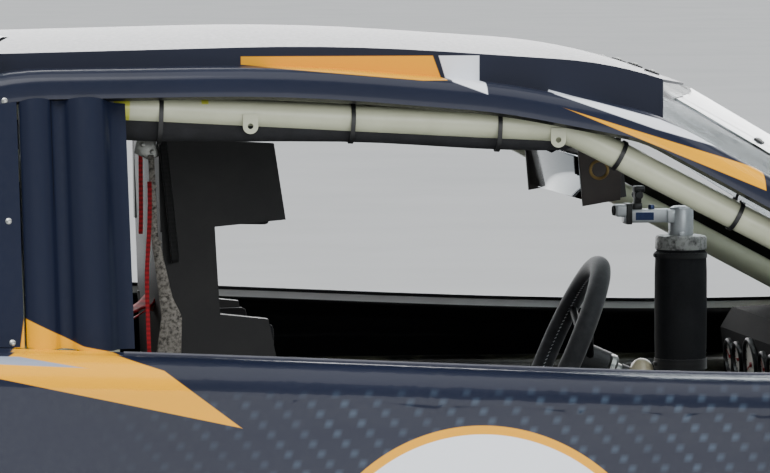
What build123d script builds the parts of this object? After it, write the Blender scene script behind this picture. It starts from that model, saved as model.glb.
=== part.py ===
from build123d import *
import math
import os

# A full-size stock car: sheet skin over a tube cage on a box-rail frame.
# Millimetres. X runs forward, Y to the driver's left, Z up. The origin is on the ground
# under the middle of the overall length.
os.makedirs("parts", exist_ok=True)

# Overall layout
nose_x = 2490.0
tail_x = -2490.0
front_axle_x = 1460.0
wheelbase = 2794.0
rear_axle_x = front_axle_x - wheelbase
track_half = 770.0
tyre_radius = 355.0
tyre_width = 280.0
axle_z = tyre_radius
skin = 5.0
panel_gap = 6.0
touch = 0.3

# Lines where the body panels meet, along X
nose_split_x = 2140.0
fender_split_x = 1010.0
quarter_split_x = -692.0
tail_split_x = -2300.0

# Hood and deck lid, seen from above
hood_rear_x, hood_front_x = 1128.0, 2285.0
hood_rear_half, hood_front_half = 650.0, 590.0
deck_front_x, deck_rear_x = -1585.0, -2425.0
deck_half = 640.0
open_angle = 60.0

# Window plane: it leans in from the sill to the roof rail
sill_half, sill_z = 800.0, 870.0
rail_half, rail_z = 650.0, 1268.0
lean = math.atan2(sill_half - rail_half, rail_z - sill_z)

# Wheel openings in the body
front_arch_radius = 418.0
rear_arch_radius = 392.0
arch_z = axle_z + 3.0

# Roof
roof_half = 570.0
roof_crown = 21.0
roof_skin = 4.0
roof_step = 62.0
roof_front_x, roof_front_corner_x = 455.0, 332.0
roof_rear_x, roof_rear_corner_x = -800.0, -752.0

# Cage tube
tube_od = 44.5
hoop_x = -560.0
hoop_half = 700.0
halo_bend = 140.0
halo_rear, halo_corner, halo_foot = (hoop_x, 590.0, 1252.5), (171.0, 600.0, 1216.3), (885.0, 716.0, 844.0)

# Frame rails and floor
rail_w, rail_h = 76.0, 102.0
main_rail_half = 690.0
front_rail_half = 390.0
rear_rail_half = 450.0
rail_base_z = 128.0
floor_z = rail_base_z + rail_h
floor_sheet = 4.0
firewall_x = 905.0
bulkhead_x = -900.0

# Driver's place
seat_y = 400.0
wheel_centre = Vector(349, 395, 779)
wheel_tilt = 23.6
column_toe = 4.0
steering_wheel_radius = 165.0
rim_grip = 17.0
wheel_dish = 48.0
shaft_radius = 9.5

# Suspension
kingpin_half = 680.0
spindle_radius = 22.0
hub_clear = 0.05
steer_limit = 18.0


def mirror_y(shape):
    return mirror(shape, about=Plane.XZ)


def save(name, *shapes):
    solids = [s for shape in shapes for s in shape.solids()]
    export_step(solids[0] if len(solids) == 1 else Compound(children=solids), f"parts/{name}.step")


def box(x0, x1, y0, y1, z0, z1):
    size = Box(abs(x1 - x0), abs(y1 - y0), abs(z1 - z0))
    return Pos((x0 + x1) / 2, (y0 + y1) / 2, (z0 + z1) / 2) * size


def rod(start, end, radius):
    start, end = Vector(*start), Vector(*end)
    along = end - start
    return Plane(start, z_dir=along) * extrude(Circle(radius), along.length)


def tube(points, radii, od=tube_od):
    """A bent tube as a solid bar along straight runs joined by arcs."""
    if len(points) == 2:
        return rod(points[0], points[1], od / 2)
    path = FilletPolyline(*[Vector(*p) for p in points], radius=radii)
    section = Plane(path @ 0, z_dir=path % 0) * Circle(od / 2)
    return sweep(section, path=path)


def fused(shapes):
    whole = shapes[0]
    for shape in shapes[1:]:
        whole = whole + shape
    return whole


def biggest(shape):
    return max(shape.solids(), key=lambda s: s.volume)


# Body envelope. Each row is one cross-section, half width beside height:
# station, rocker, waist, shoulder, top edge, centre height
body_rows = (
    # x, rocker_w, rocker_z, waist_w, waist_z, shoulder_w, shoulder_z, top_w, top_z, centre_z
    (nose_x, 790, 110, 830, 330, 800, 500, 730, 556, 592),
    (2200, 905, 112, 928, 400, 893, 640, 820, 702, 742),
    (front_axle_x, 955, 120, 976, 470, 950, 795, 872, 846, 876),
    (1000, 955, 122, 970, 500, 925, 782, 850, 838, 905),
    (-60, 955, 122, 968, 500, 905, 800, 832, 862, 905),
    (quarter_split_x, 955, 125, 970, 510, 914, 828, 832, 892, 935),
    (rear_axle_x, 960, 140, 982, 520, 940, 860, 850, 922, 985),
    (-2200, 930, 180, 950, 560, 915, 905, 840, 958, 1003),
    (tail_x, 885, 230, 908, 580, 882, 902, 815, 950, 985),
)


def body_section(row, inset):
    """Closed outline of lines and arcs across the car. The inset one is open below the skin."""
    x, wb, zb, wm, zm, ws, zs, wt, zt, zc = row
    wb, wm, ws, wt = (w - inset for w in (wb, wm, ws, wt))
    zt, zc, zs = zt - inset, zc - inset, zs - inset * 0.6
    base = zb - (80.0 if inset else 1.0)
    bend = (0.25 * ws + 0.5 * ws + 0.25 * wt, 0.25 * zs + 0.75 * zt)
    plane = Plane((x, 0, 0), x_dir=(0, 1, 0), z_dir=(1, 0, 0))
    edges = [
        Line((-wb, base), (wb, base)),
        Line((wb, base), (wb, zb)),
        ThreePointArc((wb, zb), (wm, zm), (ws, zs)),
        ThreePointArc((ws, zs), bend, (wt, zt)),
        ThreePointArc((wt, zt), (0, zc), (-wt, zt)),
        ThreePointArc((-wt, zt), (-bend[0], bend[1]), (-ws, zs)),
        ThreePointArc((-ws, zs), (-wm, zm), (-wb, zb)),
        Line((-wb, zb), (-wb, base)),
    ]
    return plane * make_face(edges)


def plan_cut(inset):
    """The car seen from above: a bowed nose and tail."""
    front, rear, wide = nose_x - inset, tail_x + inset, 1100.0
    edges = [
        ThreePointArc((2215 - inset, wide), (front, 0), (2215 - inset, -wide)),
        Line((2215 - inset, -wide), (-2330 + inset, -wide)),
        ThreePointArc((-2330 + inset, -wide), (rear, 0), (-2330 + inset, wide)),
        Line((-2330 + inset, wide), (2215 - inset, wide)),
    ]
    return extrude(make_face(edges), 1200)


def side_cut(inset):
    """The car seen from the side: the nose rolls over into the hood, the tail leans forward."""
    low = -100.0
    top = 1150.0
    front = nose_x - inset
    edges = [
        Line((-2600, low), (front - 18, low)),
        Line((front - 18, low), (front - 18, 250)),
        ThreePointArc((front - 18, 250), (front, 420), (front - 50, 548 - inset)),
        ThreePointArc((front - 50, 548 - inset), (front - 118, 610 - inset), (front - 220, 642 - inset)),
        Line((front - 220, 642 - inset), (1500, top)),
        Line((1500, top), (-2430 + inset, top)),
        Line((-2430 + inset, top), (-2430 + inset, 980 - inset)),
        ThreePointArc((-2430 + inset, 980 - inset), (tail_x + inset + 12, 930 - inset), (tail_x + inset, 860)),
        Line((tail_x + inset, 860), (tail_x + inset + 40, 250)),
        Line((tail_x + inset + 40, 250), (-2600, low)),
    ]
    return Plane.XZ * extrude(make_face(edges), 1100, both=True)


def envelope(inset):
    skin_loft = loft([body_section(row, inset) for row in body_rows])
    return skin_loft & plan_cut(inset) & side_cut(inset)


def prism(points, z0, z1):
    """An upright block over a plan outline."""
    return Pos(0, 0, z0) * extrude(make_face(Polyline(*points, close=True)), z1 - z0)


def band(x0, x1, y0=-1200.0, y1=1200.0, z0=-50.0, z1=1400.0):
    return box(x0, x1, y0, y1, z0, z1)


def bowed_plan(front_x, front_corner_x, rear_x, rear_corner_x, half, z0, z1):
    """A plan block with bowed front and rear edges."""
    edges = [
        ThreePointArc((front_corner_x, half), (front_x, 0), (front_corner_x, -half)),
        Line((front_corner_x, -half), (rear_corner_x, -half)),
        ThreePointArc((rear_corner_x, -half), (rear_x, 0), (rear_corner_x, half)),
        Line((rear_corner_x, half), (front_corner_x, half)),
    ]
    return Pos(0, 0, z0) * extrude(make_face(edges), z1 - z0)


def hood_plan(gap):
    rear, front = hood_rear_x - gap, hood_front_x + gap
    half_r, half_f = hood_rear_half + gap, hood_front_half + gap
    edges = [
        Line((rear, -half_r), (rear, half_r)),
        Line((rear, half_r), (front - 60, half_f)),
        ThreePointArc((front - 60, half_f), (front, 0), (front - 60, -half_f)),
        Line((front - 60, -half_f), (rear, -half_r)),
    ]
    return Pos(0, 0, 560) * extrude(make_face(edges), 600)


def deck_plan(gap):
    return prism(
        [
            (deck_front_x + gap, -deck_half - gap),
            (deck_front_x + gap, deck_half + gap),
            (deck_rear_x - gap, deck_half + gap),
            (deck_rear_x - gap, -deck_half - gap),
        ],
        820,
        1200,
    )


def arch(x, radius, side):
    wheel_hole = Plane((x, 0, arch_z), z_dir=(0, side, 0)) * extrude(Circle(radius), 1200)
    return wheel_hole & band(x - 600, x + 600, *sorted((side * 540.0, side * 1200.0)))


# Window plane on the driver's side: local x is the car's x, local y runs up the leaning plane
window_plane = Plane(
    (0, sill_half, sill_z),
    x_dir=(1, 0, 0),
    z_dir=(0, -math.cos(lean), -math.sin(lean)),
)


def on_window(x, z):
    """A point of the window plane from its x and its height."""
    return (x, (z - sill_z) / math.cos(lean))


# Drip edge of the roof rail: windshield post, roof rail and rear post in one line
rail_points = (
    # x, z, bend radius
    (1010, 796, None),
    (283, 1200, 160),
    (60, 1243, 900),
    (-270, 1271, 2600),
    (-735, 1266, 420),
    (-1640, 868, None),
)


def roof_rail():
    path = FilletPolyline(
        *[on_window(x, z) for x, z, _ in rail_points],
        radius=[r for _, _, r in rail_points if r],
    )
    path = window_plane * path
    outward = Vector(0, math.cos(lean), math.sin(lean))
    section_plane = Plane(path @ 0, x_dir=outward, z_dir=path % 0)
    edges = [
        Line((0, 0), (4, -24)),
        ThreePointArc((4, -24), (-2, -42), (-18, -54)),
        Line((-18, -54), (-52, -68)),
        Line((-52, -68), (-92, -74)),
        Line((-92, -74), (-92, -68)),
        Line((-92, -68), (-56, -61)),
        ThreePointArc((-56, -61), (-30, -46), (-18, -24)),
        Line((-18, -24), (-14, 0)),
        Line((-14, 0), (0, 0)),
    ]
    return sweep(section_plane * make_face(edges), path=path)


def roof_panel():
    """Raised roof panel with turned-down sides that stand in the rail's ditch."""
    path = FilletPolyline(
        (580, 1227), (262, 1338), (-180, 1368), (-900, 1352),
        radius=[700, 3600],
    )
    path = Plane.XZ * path
    plane = Plane(path @ 0, x_dir=(0, 1, 0), z_dir=path % 0)
    sign = 1 if plane.y_dir.Z > 0 else -1
    half, drop = roof_half, roof_crown
    inner = half - roof_skin
    edges = [
        ThreePointArc((-half, -drop * sign), (0, 0), (half, -drop * sign)),
        Line((half, -drop * sign), (half, -(drop + roof_step) * sign)),
        Line((half, -(drop + roof_step) * sign), (inner, -(drop + roof_step) * sign)),
        Line((inner, -(drop + roof_step) * sign), (inner, -(drop + roof_skin) * sign)),
        ThreePointArc((inner, -(drop + roof_skin) * sign), (0, -roof_skin * sign), (-inner, -(drop + roof_skin) * sign)),
        Line((-inner, -(drop + roof_skin) * sign), (-inner, -(drop + roof_step) * sign)),
        Line((-inner, -(drop + roof_step) * sign), (-half, -(drop + roof_step) * sign)),
        Line((-half, -(drop + roof_step) * sign), (-half, -drop * sign)),
    ]
    return sweep(plane * make_face(edges), path=path)


def glass_sheet(top, base, thick):
    """A bowed window as a ruled loft between two level strips: (z, centre x, corner x, half width)."""
    strips = []
    for z, centre, corner, half in (top, base):
        edges = [
            ThreePointArc((corner, half), (centre, 0), (corner, -half)),
            Line((corner, -half), (corner - thick, -half)),
            ThreePointArc((corner - thick, -half), (centre - thick, 0), (corner - thick, half)),
            Line((corner - thick, half), (corner, half)),
        ]
        strips.append(Pos(0, 0, z) * make_face(edges))
    return loft(strips, ruled=True)


def frame_cutter():
    """What lies below the roof rail's ditch on the left side: it trims the roof's turned-down walls."""
    path = FilletPolyline(
        *[on_window(x, z) for x, z, _ in rail_points],
        radius=[r for _, _, r in rail_points if r],
    )
    path = window_plane * path
    outward = Vector(0, math.cos(lean), math.sin(lean))
    section_plane = Plane(path @ 0, x_dir=outward, z_dir=path % 0)
    outline = Polyline((-100, -75.2), (-52, -68), (-52, 60), (-100, 60), close=True)
    return sweep(section_plane * make_face(outline), path=path)


def below_rail(depth, u0=-20.0, u1=400.0):
    """A block under the drip edge, seen square to the window plane, as deep as given."""
    top = [on_window(x, z) for x, z, _ in rail_points]
    outline = FilletPolyline(*top, radius=[r for _, _, r in rail_points if r])
    low_rear, low_front = (top[-1][0], -500.0), (top[0][0], -500.0)
    closing = Polyline(top[-1], low_rear, low_front, top[0])
    face = make_face([*outline.edges(), *closing.edges()])
    return window_plane * (Pos(0, 0, -depth) * extrude(face, 2 * depth))


def hinge(axis_x, axis_y, axis_z, fixed_side):
    """Weld-on hinge across Y. Gives the fixed half with its pin, and the moving half."""
    pin_r, barrel_r, knuckle, gap = 4.0, 8.0, 22.0, 1.0
    leaf_len, leaf_thick = 34.0, 7.0

    def barrel(y0, y1, bore):
        ring = Circle(barrel_r) - Circle(bore) if bore else Circle(barrel_r)
        return Plane((axis_x, y0, axis_z), z_dir=(0, 1, 0)) * extrude(ring, y1 - y0)

    def leaf(side, y0, y1):
        near = axis_x + side * (barrel_r * 0.6)
        far = axis_x + side * leaf_len
        low = axis_z - hinge_rise - 3.5
        return box(*sorted((near, far)), y0, y1, low, low + leaf_thick + 2.0)

    y0 = axis_y - 1.5 * knuckle - gap
    spans = [(y0 + i * (knuckle + gap), y0 + i * (knuckle + gap) + knuckle) for i in range(3)]
    pin = rod((axis_x, spans[0][0], axis_z), (axis_x, spans[2][1], axis_z), pin_r)
    fixed = fused(
        [barrel(*spans[0], 0), barrel(*spans[2], 0), pin]
        + [leaf(fixed_side, *spans[i]) for i in (0, 2)]
    )
    moving = barrel(*spans[1], pin_r + hub_clear) + leaf(-fixed_side, *spans[1])
    moving = moving - rod(
        (axis_x, spans[0][0], axis_z), (axis_x, spans[2][1], axis_z), pin_r + hub_clear
    )
    return fixed, moving


hinge_rise = 10.0
hinge_places = (-300.0, 300.0)


def build_skin():
    outer = envelope(0.0)
    shell = outer - envelope(skin)
    half_gap = panel_gap / 2
    cabin = bowed_plan(1080, 966, -1490, -1452, sill_half - 2, 560, 1300)
    wheel_holes = [
        arch(x, r, side)
        for side in (-1, 1)
        for x, r in ((front_axle_x, front_arch_radius), (rear_axle_x, rear_arch_radius))
    ]
    shell = shell - cabin
    for hole in wheel_holes:
        shell = shell - hole

    hood = biggest(shell & hood_plan(-half_gap))
    decklid = biggest(shell & deck_plan(-half_gap))
    around = shell - hood_plan(half_gap) - deck_plan(half_gap)
    cowl_zone = band(fender_split_x - 60, hood_rear_x, -hood_rear_half, hood_rear_half, 600)
    cowl = biggest(around & cowl_zone)
    around = around - cowl_zone
    nose = biggest(around & band(nose_split_x, 2600))
    fenders = [
        biggest(around & band(fender_split_x, nose_split_x, *ys)) for ys in ((-1200, 0), (0, 1200))
    ]
    doors = [
        biggest(around & band(quarter_split_x, fender_split_x, *ys)) for ys in ((-1200, 0), (0, 1200))
    ]
    quarters = biggest(around & band(tail_split_x, quarter_split_x))
    tail = biggest(around & band(-2600, tail_split_x))

    grille_mouth = box(2300, 2600, -grille_half, grille_half, grille_low, grille_high)
    nose = nose - grille_mouth

    hood_axis_z = hinge_height(outer, hood_rear_x)
    deck_axis_z = hinge_height(outer, deck_front_x)
    for y in hinge_places:
        fixed, moving = hinge(hood_rear_x, y, hood_axis_z, -1)
        cowl, hood = cowl + fixed, hood + moving
        fixed, moving = hinge(deck_front_x, y, deck_axis_z, 1)
        quarters, decklid = quarters + fixed, decklid + moving
    print("hood hinge axis", hood_rear_x, hood_axis_z, "deck hinge axis", deck_front_x, deck_axis_z)

    save("nose_panel", nose)
    save("front_fenders", *fenders)
    save("door_skins", *doors)
    save("rear_quarters", quarters)
    save("tail_panel", tail)
    save("cowl_panel", cowl)
    save("hood", hood)
    save("decklid", decklid)
    return outer, nose


grille_half, grille_low, grille_high = 430.0, 262.0, 452.0


def hinge_height(outer, x):
    """Height of a lid's hinge axis, just above the skin where the hinges stand."""
    ridge = outer & box(x - 1, x + 1, hinge_places[0] - 1, hinge_places[0] + 1, 500, 1200)
    return round(ridge.bounding_box().max.Z + hinge_rise, 1)


def build_greenhouse(outer):
    rail = roof_rail() - outer
    rails = [biggest(rail), mirror_y(biggest(rail))]
    save("roof_rails", *rails)

    roof = roof_panel() & bowed_plan(
        roof_front_x, roof_front_corner_x, roof_rear_x, roof_rear_corner_x, roof_half + 2, 900, 1500
    )
    cutter = frame_cutter()
    roof = biggest(roof - cutter - mirror_y(cutter))
    save("roof_panel", roof)

    front = glass_sheet((1290, 425, 300, 600), (860, 1164, 1024, 740), 9)
    front = front - outer - roof_panel() - below_roof_front()
    for part in (*rails, cutter, mirror_y(cutter)):
        front = front - part
    save("windshield", biggest(front & band(200, 1200, -720, 720)))

    rear = glass_sheet((1362, -757, -711, 600), (930, -1565, -1525, 715), -10)
    rear = rear - outer - roof_panel()
    for part in (*rails, cutter, mirror_y(cutter)):
        rear = rear - part
    save("rear_window", biggest(rear & band(-1600, -700, -700, 700)))

    posts, panes = [], []
    zone = below_rail(60)
    profile = [
        ThreePointArc((-690, 2), (-664, -9), (-640, 6)),
        ThreePointArc((-640, 6), (-629, 10), (-618, 5)),
        ThreePointArc((-618, 5), (-585, -9), (-556, 8)),
        ThreePointArc((-556, 8), (-540, 22), (-524, 26)),
        Line((-524, 26), (-524, 30)),
        Line((-524, 30), (-690, 30)),
        Line((-690, 30), (-690, 2)),
    ]
    section = Plane(
        window_plane.from_local_coords(Vector(0, -60, 0)), x_dir=(1, 0, 0), z_dir=window_plane.y_dir
    )
    inward = 1 if section.y_dir.Y < 0 else -1
    face = make_face(profile)
    if inward < 0:
        face = mirror(face, about=Plane.XZ)
    post = section * extrude(face, 560)
    post = biggest((post & zone) - outer)
    posts = [post, mirror_y(post)]
    save("door_posts", *posts)

    sheet = window_plane * (Pos(-1180, 150, 0) * Box(972, 700, 4))
    pane = biggest((sheet & zone) - outer)
    panes = [pane, mirror_y(pane)]
    save("quarter_windows", *panes)


def below_roof_front():
    """Keeps the windshield's top edge under the roof's front edge."""
    return box(150, 455, -700, 700, 1262, 1500) & bowed_plan(
        roof_front_x - 1, roof_front_corner_x - 1, -120, -100, 700, 1100, 1600
    )


def build_cage(frame):
    top_z, low = 1247.0, floor_z + floor_sheet
    hx, bay = hoop_x, 850.0
    r = tube_od / 2
    hoop = tube(
        [
            (hx, -hoop_half, low), (hx, -690, 800), (hx, -574, top_z + 3),
            (hx, 574, top_z + 3), (hx, 690, 800), (hx, hoop_half, low),
        ],
        [300, 130, 130, 300],
    )
    sides = []
    for side in (-1, 1):
        def at(points):
            return [(x, y * side, z) for x, y, z in points]

        sides.append(tube(at([halo_rear, halo_corner, halo_foot, (980, 733, low)]), [halo_bend, 190]))
        sides.append(tube(at([(hx, 575, 1236), (-1180, 500, 860), (-1900, rear_rail_half, 604)]), [600]))
        sides.append(tube(at([(888, 690, 838), (1180, 560, 760), (1950, front_rail_half, 352)]), [400]))
        for z in door_bar_heights:
            bar = [(hx, 698, z), (hx + 210, bay, z), (690, bay, z), (door_bar_end(z), 728, z)]
            sides.append(tube(at(bar), [160, 160]))
        for tab_x in halo_tabs:
            tab_y, tab_z = tab_place(tab_x)
            tab = Pos(tab_x, tab_y * side, tab_z) * Rot(90, 0, 0) * Cylinder(tab_radius, tab_thick)
            neck = Pos(tab_x, tab_y * side, tab_z + tab_drop / 2) * Box(2 * tab_radius, tab_thick, tab_drop)
            sides.append(tab + neck)
            hole = Pos(tab_x, tab_y * side, tab_z) * Rot(90, 0, 0) * Cylinder(tab_hole, 2 * tab_thick)
            tab_cuts.append(hole)
    cross = [
        rod((130, -598, 1218), (130, 598, 1218), r),
        rod((hx, 0, top_z + 3), (130, 0, 1218), r),
        rod((888, -712, 838), (888, 712, 838), r),
        rod((hx, -692, 760), (hx, 692, 760), r),
        rod((hx, 580, 1170), (hx, -694, 300), r),
    ]
    cage = fused([hoop, *sides, *cross])
    for hole in tab_cuts:
        cage = cage - hole
    cage = biggest(cage - frame)
    save("roll_cage", cage)
    return cage


door_bar_heights = (330.0, 460.0, 590.0, 715.0)
halo_tabs = (-328.0, 156.0)
tab_radius, tab_thick, tab_hole, tab_drop = 12.0, 3.0, 4.5, 18.6
tab_cuts = []


def tab_place(x):
    """A tab stands against the halo tube's outer side with its hole below the tube's middle."""
    share = (x - halo_rear[0]) / (halo_corner[0] - halo_rear[0])
    y = halo_rear[1] + share * (halo_corner[1] - halo_rear[1])
    z = halo_rear[2] + share * (halo_corner[2] - halo_rear[2])
    return y + (tube_od + tab_thick) / 2 - touch, z - tab_drop


def door_bar_end(z):
    """Where a door bar meets the sloping front leg of the cage."""
    return 885 + (838 - z) / (838 - floor_z) * 88


def build_frame():
    h0, h1 = rail_base_z, rail_base_z + rail_h
    half = rail_w / 2
    members = []
    for side in (-1, 1):
        y_main, y_front, y_rear = (side * v for v in (main_rail_half, front_rail_half, rear_rail_half))
        members += [
            box(-780, 1010, *sorted((y_main - half, y_main + half)), h0, h1),
            box(934, 1010 + 1070, *sorted((y_front - half, y_front + half)), 240, 240 + rail_h),
            box(934, 1010, *sorted((y_front - half, y_main + half)), h0, h1),
            box(934, 1010, *sorted((y_front - half, y_front + half)), h0, 240 + rail_h),
            box(-780, -704, *sorted((y_rear - half, y_main + half)), h0, h1),
            box(-780, -704, *sorted((y_rear - half, y_rear + half)), h0, rear_clip_z + rail_h),
            box(-2200, -704, *sorted((y_rear - half, y_rear + half)), rear_clip_z, rear_clip_z + rail_h),
        ]
    members += [
        box(934, 1010, -main_rail_half, main_rail_half, h0, h1),
        box(-780, -704, -main_rail_half, main_rail_half, h0, h1),
        box(-330, -270, -main_rail_half, main_rail_half, h0 + 20, h0 + 80),
        box(2004, 2080, -front_rail_half, front_rail_half, 240, 240 + rail_h),
        box(1420, 1500, -front_rail_half, front_rail_half, 190, 244),
        box(1420, 1500, front_rail_half - half, front_rail_half + half, 190, 244),
        box(1420, 1500, -front_rail_half - half, -front_rail_half + half, 190, 244),
        box(-2200, -2124, -rear_rail_half, rear_rail_half, rear_clip_z, rear_clip_z + rail_h),
        box(-1720, -1660, -rear_rail_half, rear_rail_half, rear_clip_z, rear_clip_z + rail_h),
    ]
    frame = biggest(fused(members))
    return frame


rear_clip_z = 486.0


def build_floor(cage, frame):
    z = floor_z
    t = floor_sheet
    half = main_rail_half + rail_w / 2
    tunnel_top, wide, narrow = 430.0, 170.0, 130.0
    tunnel = [(-wide, z), (-narrow, tunnel_top), (narrow, tunnel_top), (wide, z)]
    hollow = [(-wide + t, z - 1), (-narrow + t, tunnel_top - t), (narrow - t, tunnel_top - t), (wide - t, z - 1)]

    def long_block(points):
        plane = Plane((bulkhead_x, 0, 0), x_dir=(0, 1, 0), z_dir=(1, 0, 0))
        return plane * extrude(make_face(Polyline(*points, close=True)), firewall_x - bulkhead_x)

    floor = box(bulkhead_x, firewall_x, -half, half, z, z + t) + long_block(tunnel)
    floor = floor - long_block(hollow)
    firewall = box(firewall_x, firewall_x + t, -half + 76, half - 76, z, 800)
    rear_wall = box(bulkhead_x - t, bulkhead_x, -600, 600, z, 930)
    rear_wall = rear_wall - Pos(-t, 0, 0) * long_block(hollow)
    pan = floor + (firewall - Pos(2 * t, 0, 0) * long_block(hollow)) + rear_wall
    pan = pan - cage - frame
    save("floor_pan", biggest(pan))
    return pan


def steering_axis():
    tilt, toe = math.radians(wheel_tilt), math.radians(column_toe)
    return Vector(math.cos(tilt) * math.cos(toe), -math.cos(tilt) * math.sin(toe), -math.sin(tilt))


def build_cockpit(cage):
    axis = steering_axis()
    hub = wheel_centre + axis * wheel_dish
    plane = Plane(wheel_centre, x_dir=axis.cross(Vector(0, 0, 1)), z_dir=axis)
    rim = plane * Torus(steering_wheel_radius, rim_grip)
    spokes = []
    for angle in (0, 120, 240):
        turn = math.radians(angle + 90)
        out = plane.x_dir * math.cos(turn) + plane.y_dir * math.sin(turn)
        spokes.append(rod(tuple(hub + out * 20), tuple(wheel_centre + out * steering_wheel_radius), 7))
    boss = rod(tuple(hub - axis * 12), tuple(hub + axis * 34), 34)
    shaft = rod(tuple(hub), tuple(hub + axis * 190), shaft_radius)
    wheel = biggest(fused([rim, boss, shaft, *spokes]))
    save("steering_wheel", wheel)
    print("steering axis at", tuple(hub), "along", tuple(axis))

    start = hub + axis * 60
    column = rod(tuple(start), tuple(hub + axis * 470), 24)
    column = column - rod(tuple(start - axis * 5), tuple(hub + axis * 220), shaft_radius + hub_clear)
    end = hub + axis * 470
    hanger = box(700, 740, end.Y + 5, end.Y + 45, 600, 720)
    column = column + (hanger & box(690, 760, 200, 600, 560, 720))
    dash_bottom, dash_top = 700.0, 836.0
    dash = Plane.XZ * extrude(
        make_face(Polyline((700, dash_bottom), (690, 800), (712, dash_top), (868, dash_top + 8), (868, dash_bottom), close=True)),
        650, both=True,
    )
    dash = biggest(dash - cage)
    save("dash_panel", dash)
    column = column - dash
    save("steering_column", biggest(column))

    back_x, seat_top = -352.0, 1171.0
    w = 225.0
    side_form = Polyline(
        (-388, seat_top), (-300, seat_top - 10), (-285, 900), (-250, 420), (60, 400), (95, 330), (60, 262),
        (-300, 262), (-372, 700), close=True,
    )
    body = Pos(0, seat_y, 0) * (Plane.XZ * extrude(make_face(side_form), w, both=True))
    room = Polyline(
        (-352, 1300), (-200, 1300), (-200, 560), (200, 560), (200, 345), (-270, 345), (-352, 700), close=True,
    )
    seat = body - Pos(0, seat_y, 0) * (Plane.XZ * extrude(make_face(room), w - 26, both=True))
    for side in (-1, 1):
        wing = Polyline((-388, 1171), (-190, 1160), (-170, 1030), (-385, 1010), close=True)
        flank = Polyline((-380, 880), (-200, 860), (-150, 620), (60, 470), (60, 300), (-300, 300), close=True)
        for outline in (wing, flank):
            plate = Pos(0, seat_y + side * (w - 13), 0) * (Plane.XZ * extrude(make_face(outline), 13, both=True))
            seat = seat + plate
    post = box(-300, -60, seat_y - 90, seat_y + 90, floor_z + floor_sheet, 270)
    seat = biggest(seat + post)
    save("seat", seat)

    post_x = 481.0
    tunnel_top = 430.0
    post = fused([
        rod((post_x, 0, tunnel_top), (post_x, 0, 1022), 16),
        tube([(post_x, 0, 1015), (post_x, 0, 1051), (440, 0, 1051)], [28], od=30),
        box(366, 452, -20, 20, 1034, 1066),
        rod((412, 0, 1060), (412, 0, 1092), 9),
    ])
    save("camera_mount", biggest(post))
    pad = rod((post_x, 0, 779), (post_x, 0, 1005), 42) - rod((post_x, 0, 700), (post_x, 0, 1100), 16)
    save("post_pad", pad)

    mirror_form = Polyline((270, 1166), (330, 1160), (338, 1088), (312, 1084), (268, 1120), close=True)
    glass = Plane.XZ * extrude(make_face(mirror_form), 250, both=True)
    stay = rod((300, 0, 1140), (130, 0, 1218), 9) - cage
    save("rear_view_mirror", biggest(glass + stay))

    shifter = fused([
        box(340, 460, -20, 60, tunnel_top, tunnel_top + 36),
        rod((400, 20, tunnel_top + 20), (330, 60, 770), 9),
        Pos(330, 60, 790) * Sphere(26),
    ])
    shifter = shifter - rod((post_x, 0, tunnel_top), (post_x, 0, 1022), 17)
    save("gear_lever", biggest(shifter))

    pads = []
    for side in (-1, 1):
        pad = box(-520, 190, *sorted((570 * side, 612 * side)), 1180, 1212)
        pads.append(biggest(pad - cage))
    save("halo_pads", *pads)


def build_front_end():
    arms, knuckles, hubs = [], [], {}
    for side in (-1, 1):
        y = kingpin_half * side
        top, low = axle_z + 130, axle_z - 140

        def at(px, py, pz):
            return (px, py * side, pz)

        for z, inner_y in ((low - 12, front_rail_half + 50), (top + 12, front_rail_half + 30)):
            arm = fused([
                rod(at(front_axle_x - 95, inner_y, z), (front_axle_x, y, z), 13),
                rod(at(front_axle_x + 95, inner_y, z), (front_axle_x, y, z), 13),
                rod(at(front_axle_x - 115, inner_y, z), at(front_axle_x + 115, inner_y, z), 17),
                Pos(front_axle_x, y, z) * Cylinder(24, 26),
            ])
            stud_dir = 1 if z < axle_z else -1
            arm = arm + rod((front_axle_x, y, z), (front_axle_x, y, z + stud_dir * 46), 10)
            arms.append(arm)
        web = box(front_axle_x - 22, front_axle_x + 22, *sorted((y - 18, y + 18)), low + 6, top - 6)
        spindle = rod((front_axle_x, y, axle_z), at(front_axle_x, hub_face, axle_z), spindle_radius)
        steering_arm = rod(at(front_axle_x - 10, kingpin_half - 4, axle_z - 60), at(front_axle_x - 140, kingpin_half - 88, axle_z - 130), 11)
        eye = Pos(*at(front_axle_x - 140, kingpin_half - 88, axle_z - 130)) * Cylinder(18, 22)
        knuckle = fused([web, spindle, steering_arm, eye])
        for z0, z1 in ((low - 20, low + 60), (top - 60, top + 20)):
            knuckle = knuckle - rod((front_axle_x, y, z0), (front_axle_x, y, z1), 10 + hub_clear)
        name = "left" if side > 0 else "right"
        save(f"knuckle_{name}", biggest(knuckle))
    return arms


hub_face = 800.0


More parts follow.
